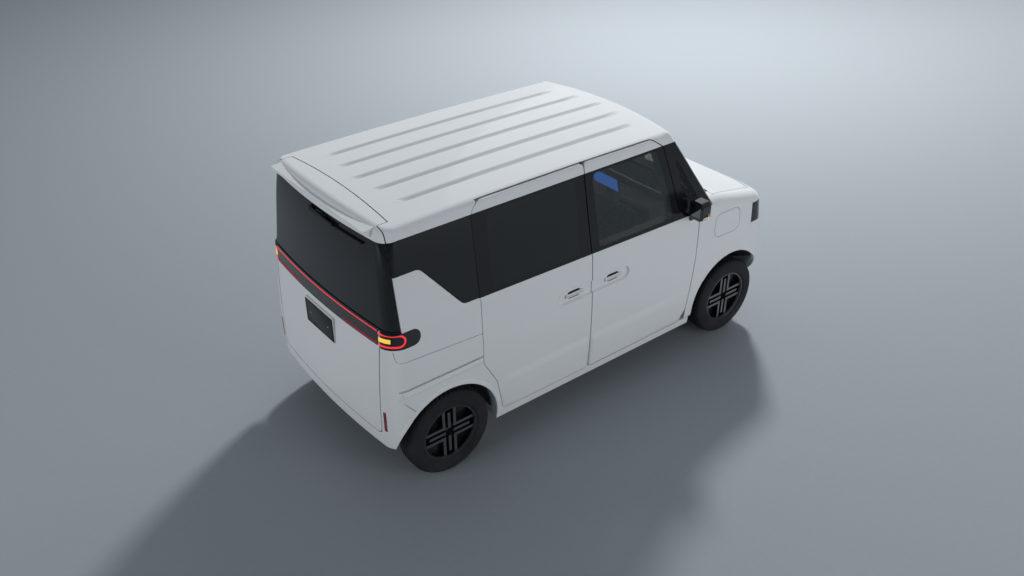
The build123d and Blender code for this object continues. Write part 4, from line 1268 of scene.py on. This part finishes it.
class VAN_OT_edges(bpy.types.Operator):
    """Roll the arch lips, rail ledges, handle rims and the steps low on the doors"""

    bl_idname = "van.edges"
    bl_label = "Panel edges"

    def execute(self, context):
        white = paint("pearl_white")
        lip = [
            (-0.016, -0.003), (0.013, -0.003), (0.016, 0.0), (0.014, 0.0035), (0.004, 0.0042),
            (-0.010, 0.0020),
        ]
        bm = bmesh.new()
        for s in (-1, 1):
            for cx, cz, radius, low, high in (
                (-1.262, 0.288, 0.3835, -4, 155), (1.248, 0.338, 0.3755, 25, 184),
            ):
                hits = []
                for i in range(49):
                    a = math.radians(low + (high - low) * i / 48)
                    hits.append(SKIN.side(cx + radius * math.cos(a), cz + radius * math.sin(a), s))
                section = [(-u, v) for u, v in lip] if s < 0 else lip
                sweep_on_skin(bm, hits, section)
        piece("arch_lips", bm, white, "body")
        bm = bmesh.new()
        ledge = [
            (-0.018, -0.004), (0.020, -0.004), (0.018, 0.0), (0.010, 0.0050), (-0.004, 0.0060),
            (-0.012, 0.0030),
        ]
        for s in (-1, 1):
            hits = [SKIN.side(-1.012 - 0.0148 * i, 0.7480 - 0.0002 * i, s) for i in range(39)]
            sweep_on_skin(bm, hits, [(-s * u, v) for u, v in ledge])
        piece("rail_ledges", bm, white, "body")
        rim = [(-0.0042, -0.001), (0.0042, -0.001), (0.0030, 0.0018), (0.0, 0.0026), (-0.0030, 0.0018)]
        for tag, s in (("right", -1), ("left", 1)):
            for name, body, near, bend, way in (
                ("front_scoop_rim_", "door_" + tag, -0.116, 0.1535, 1),
                ("slide_scoop_rim_", "body", -0.133, -0.3605, -1),
            ):
                half = 0.0500
                spots = [(near + (bend - near) * i / 12, GRIP_Z - half) for i in range(12)]
                spots += [(bend + way * half * math.cos(a), GRIP_Z + half * math.sin(a))
                          for a in [math.radians(-90 + 15 * i) for i in range(13)]]
                spots += [(bend + (near - bend) * i / 12, GRIP_Z + half) for i in range(1, 13)]
                hits = [SKIN.side(x, z, s) for x, z in spots]
                bm = bmesh.new()
                sweep_on_skin(bm, hits, rim)
                piece(name + tag, bm, white, body)
            self.step("front_step_" + tag, s, (-0.118, 0.0, 0.790), "door_" + tag, white)
            self.step("slide_step_" + tag, s, (-0.836, -0.227, -0.131), "body", white)
        return {"FINISHED"}

    @staticmethod
    def step(name, s, span, body, mat):
        """Lower part of a door standing out a little, under a bevel that catches the light."""
        bm = bmesh.new()
        across, up = 60, 22
        rear, slant, front = span
        foot, crest = 0.296, 0.572
        grid = []
        for i in range(across + 1):
            row = []
            for j in range(up + 1):
                z = foot + (crest - foot) * j / up
                start = rear + slant * (z - 0.29)
                end = min(front, 0.730 + 0.60 * (z - 0.29))
                x = start + (end - start) * i / across
                hit, normal = SKIN.side(x, z, s)
                rise = min(1.0, (crest - z) / 0.075)
                ends = min(
                    1.0, (z - foot) / 0.010, (x - start) / 0.008 + 0.2,
                    (front - x) / (0.45 if front > 0 else 0.008) + 0.2,
                )
                lift = 0.0105 * (rise * rise * (3 - 2 * rise)) * max(0.0, ends)
                if front < 0:
                    lift *= min(1.0, (x + 0.905) / 0.16)
                row.append(bm.verts.new(hit + normal * (lift - 0.0008)))
            grid.append(row)
        for i in range(across):
            for j in range(up):
                bm.faces.new((grid[i][j], grid[i + 1][j], grid[i + 1][j + 1], grid[i][j + 1]))
        piece(name, bm, mat, body)


class VAN_OT_hubs(bpy.types.Operator):
    """Fit the wheel nuts"""

    bl_idname = "van.hubs"
    bl_label = "Wheel hardware"

    def execute(self, context):
        steel = metal("nut_steel", (0.30, 0.30, 0.31), 0.3, 400.0, 0.1)
        for name, (x, side) in AXLES.items():
            bm = bmesh.new()
            for k in range(4):
                a = math.radians(45 + 90 * k)
                cx, cz = x + NUT_CIRCLE_R * math.cos(a), TYRE_R + NUT_CIRCLE_R * math.sin(a)
                rows = [
                    (0.0, side * (NUT_Y - 0.012)), (0.0095, side * (NUT_Y - 0.012)),
                    (0.0095, side * (NUT_Y + 0.004)), (0.0080, side * (NUT_Y + 0.007)),
                    (0.0, side * (NUT_Y + 0.007)),
                ]
                add_lathe(bm, rows, (cx, 0.0, cz), "Y", 6)
            piece("wheel_nuts_" + name, bm, steel, "roll_" + name)
        return {"FINISHED"}


class VAN_OT_stage(bpy.types.Operator):
    """Set the floor, the studio light and the camera"""

    bl_idname = "van.stage"
    bl_label = "Stage"

    def execute(self, context):
        look = settings("stage")
        scene = context.scene
        mesh = bpy.data.meshes.new("studio_floor")
        far = FLOOR_HALF
        mesh.from_pydata(
            [(-far, -far, 0), (far, -far, 0), (far, far, 0), (-far, far, 0)], [], [(0, 1, 2, 3)],
        )
        floor = bpy.data.objects.new("studio_floor", mesh)
        scene.collection.objects.link(floor)
        mat, n, shader = material("studio_floor", Specular_IOR_Level=0.15)
        speck = n.noise(n.place(), 26.0, 8.0)
        base = tuple(look.floor)
        n.join(
            n.mix(speck, tuple(c * 0.96 for c in base), tuple(c * 1.04 for c in base)),
            shader.inputs["Base Color"],
        )
        n.join(n.plus(n.times(speck, 0.1), 0.55), shader.inputs["Roughness"])
        bump(n, shader, speck, 0.15, 0.002)
        mesh.materials.append(mat)

        world = bpy.data.worlds.new("studio")
        scene.world = world
        world.use_nodes = True
        sky = world.node_tree.nodes["Background"]
        sky.inputs[0].default_value = SKY_COLOUR
        sky.inputs[1].default_value = SKY_STRENGTH
        for light in LIGHTS:
            self.lamp(scene, *light)
        bpy.data.lights["key"].shadow_soft_size = KEY_SOFTNESS

        eye = bpy.data.cameras.new("camera")
        camera = bpy.data.objects.new("camera", eye)
        scene.collection.objects.link(camera)
        eye.lens = look.lens
        eye.sensor_width = SENSOR_WIDTH
        eye.clip_end = 200.0
        az, el, roll = look.azimuth, look.elevation, look.roll
        back = Vector((math.sin(az) * math.cos(el), -math.cos(az) * math.cos(el), math.sin(el)))
        right = Vector((math.cos(az), math.sin(az), 0))
        up = back.cross(right)
        r2 = right * math.cos(roll) + up * math.sin(roll)
        u2 = up * math.cos(roll) - right * math.sin(roll)
        turn = Matrix((r2, u2, back)).transposed().to_4x4()
        camera.matrix_world = Matrix.Translation(Vector(look.eye)) @ turn
        scene.camera = camera
        scene.view_settings.view_transform = "Standard"
        return {"FINISHED"}

    @staticmethod
    def lamp(scene, name, kind, place, towards, power, size, glossy):
        light = bpy.data.lights.new(name, kind)
        light.energy = power
        if size:
            light.shape = "DISK"
            light.size = size
        obj = bpy.data.objects.new(name, light)
        scene.collection.objects.link(obj)
        obj.visible_glossy = glossy
        obj.location = place
        obj.rotation_mode = "QUATERNION"
        obj.rotation_quaternion = Vector(towards).to_track_quat("-Z", "Y")


class VAN_PT_sidebar(bpy.types.Panel):
    """Lists the van's pieces and their values"""

    bl_idname = "VAN_PT_sidebar"
    bl_label = "Light van"
    bl_space_type = "VIEW_3D"
    bl_region_type = "UI"
    bl_category = "Light Van"

    def draw(self, context):
        layout = self.layout
        for name, group in GROUPS.items():
            box = layout.box()
            box.label(text=group.__doc__)
            for key in group.__annotations__:
                box.prop(settings(name), key)
        for operator in OPERATORS:
            layout.operator(operator.bl_idname)


GROUPS = {"paint": VanPaint, "glass": VanGlass, "tyres": VanTyres, "stage": VanStage}
OPERATORS = (
    VAN_OT_panels, VAN_OT_edges, VAN_OT_tyres, VAN_OT_hubs, VAN_OT_lamps, VAN_OT_trim, VAN_OT_seats,
    VAN_OT_cabin, VAN_OT_stage,
)


def register():
    for cls in (*GROUPS.values(), *OPERATORS, VAN_PT_sidebar):
        bpy.utils.register_class(cls)
    for name, group in GROUPS.items():
        setattr(bpy.types.Scene, "van_" + name, PointerProperty(type=group))


def unregister():
    for name in GROUPS:
        delattr(bpy.types.Scene, "van_" + name)
    for cls in (VAN_PT_sidebar, *reversed(OPERATORS), *GROUPS.values()):
        bpy.utils.unregister_class(cls)


def main():
    register()
    bpy.ops.van.panels()
    bpy.ops.van.edges()
    bpy.ops.van.tyres()
    bpy.ops.van.hubs()
    bpy.ops.van.lamps()
    bpy.ops.van.trim()
    bpy.ops.van.seats()
    bpy.ops.van.cabin()
    bpy.ops.van.stage()


if __name__ == "__main__":
    main()
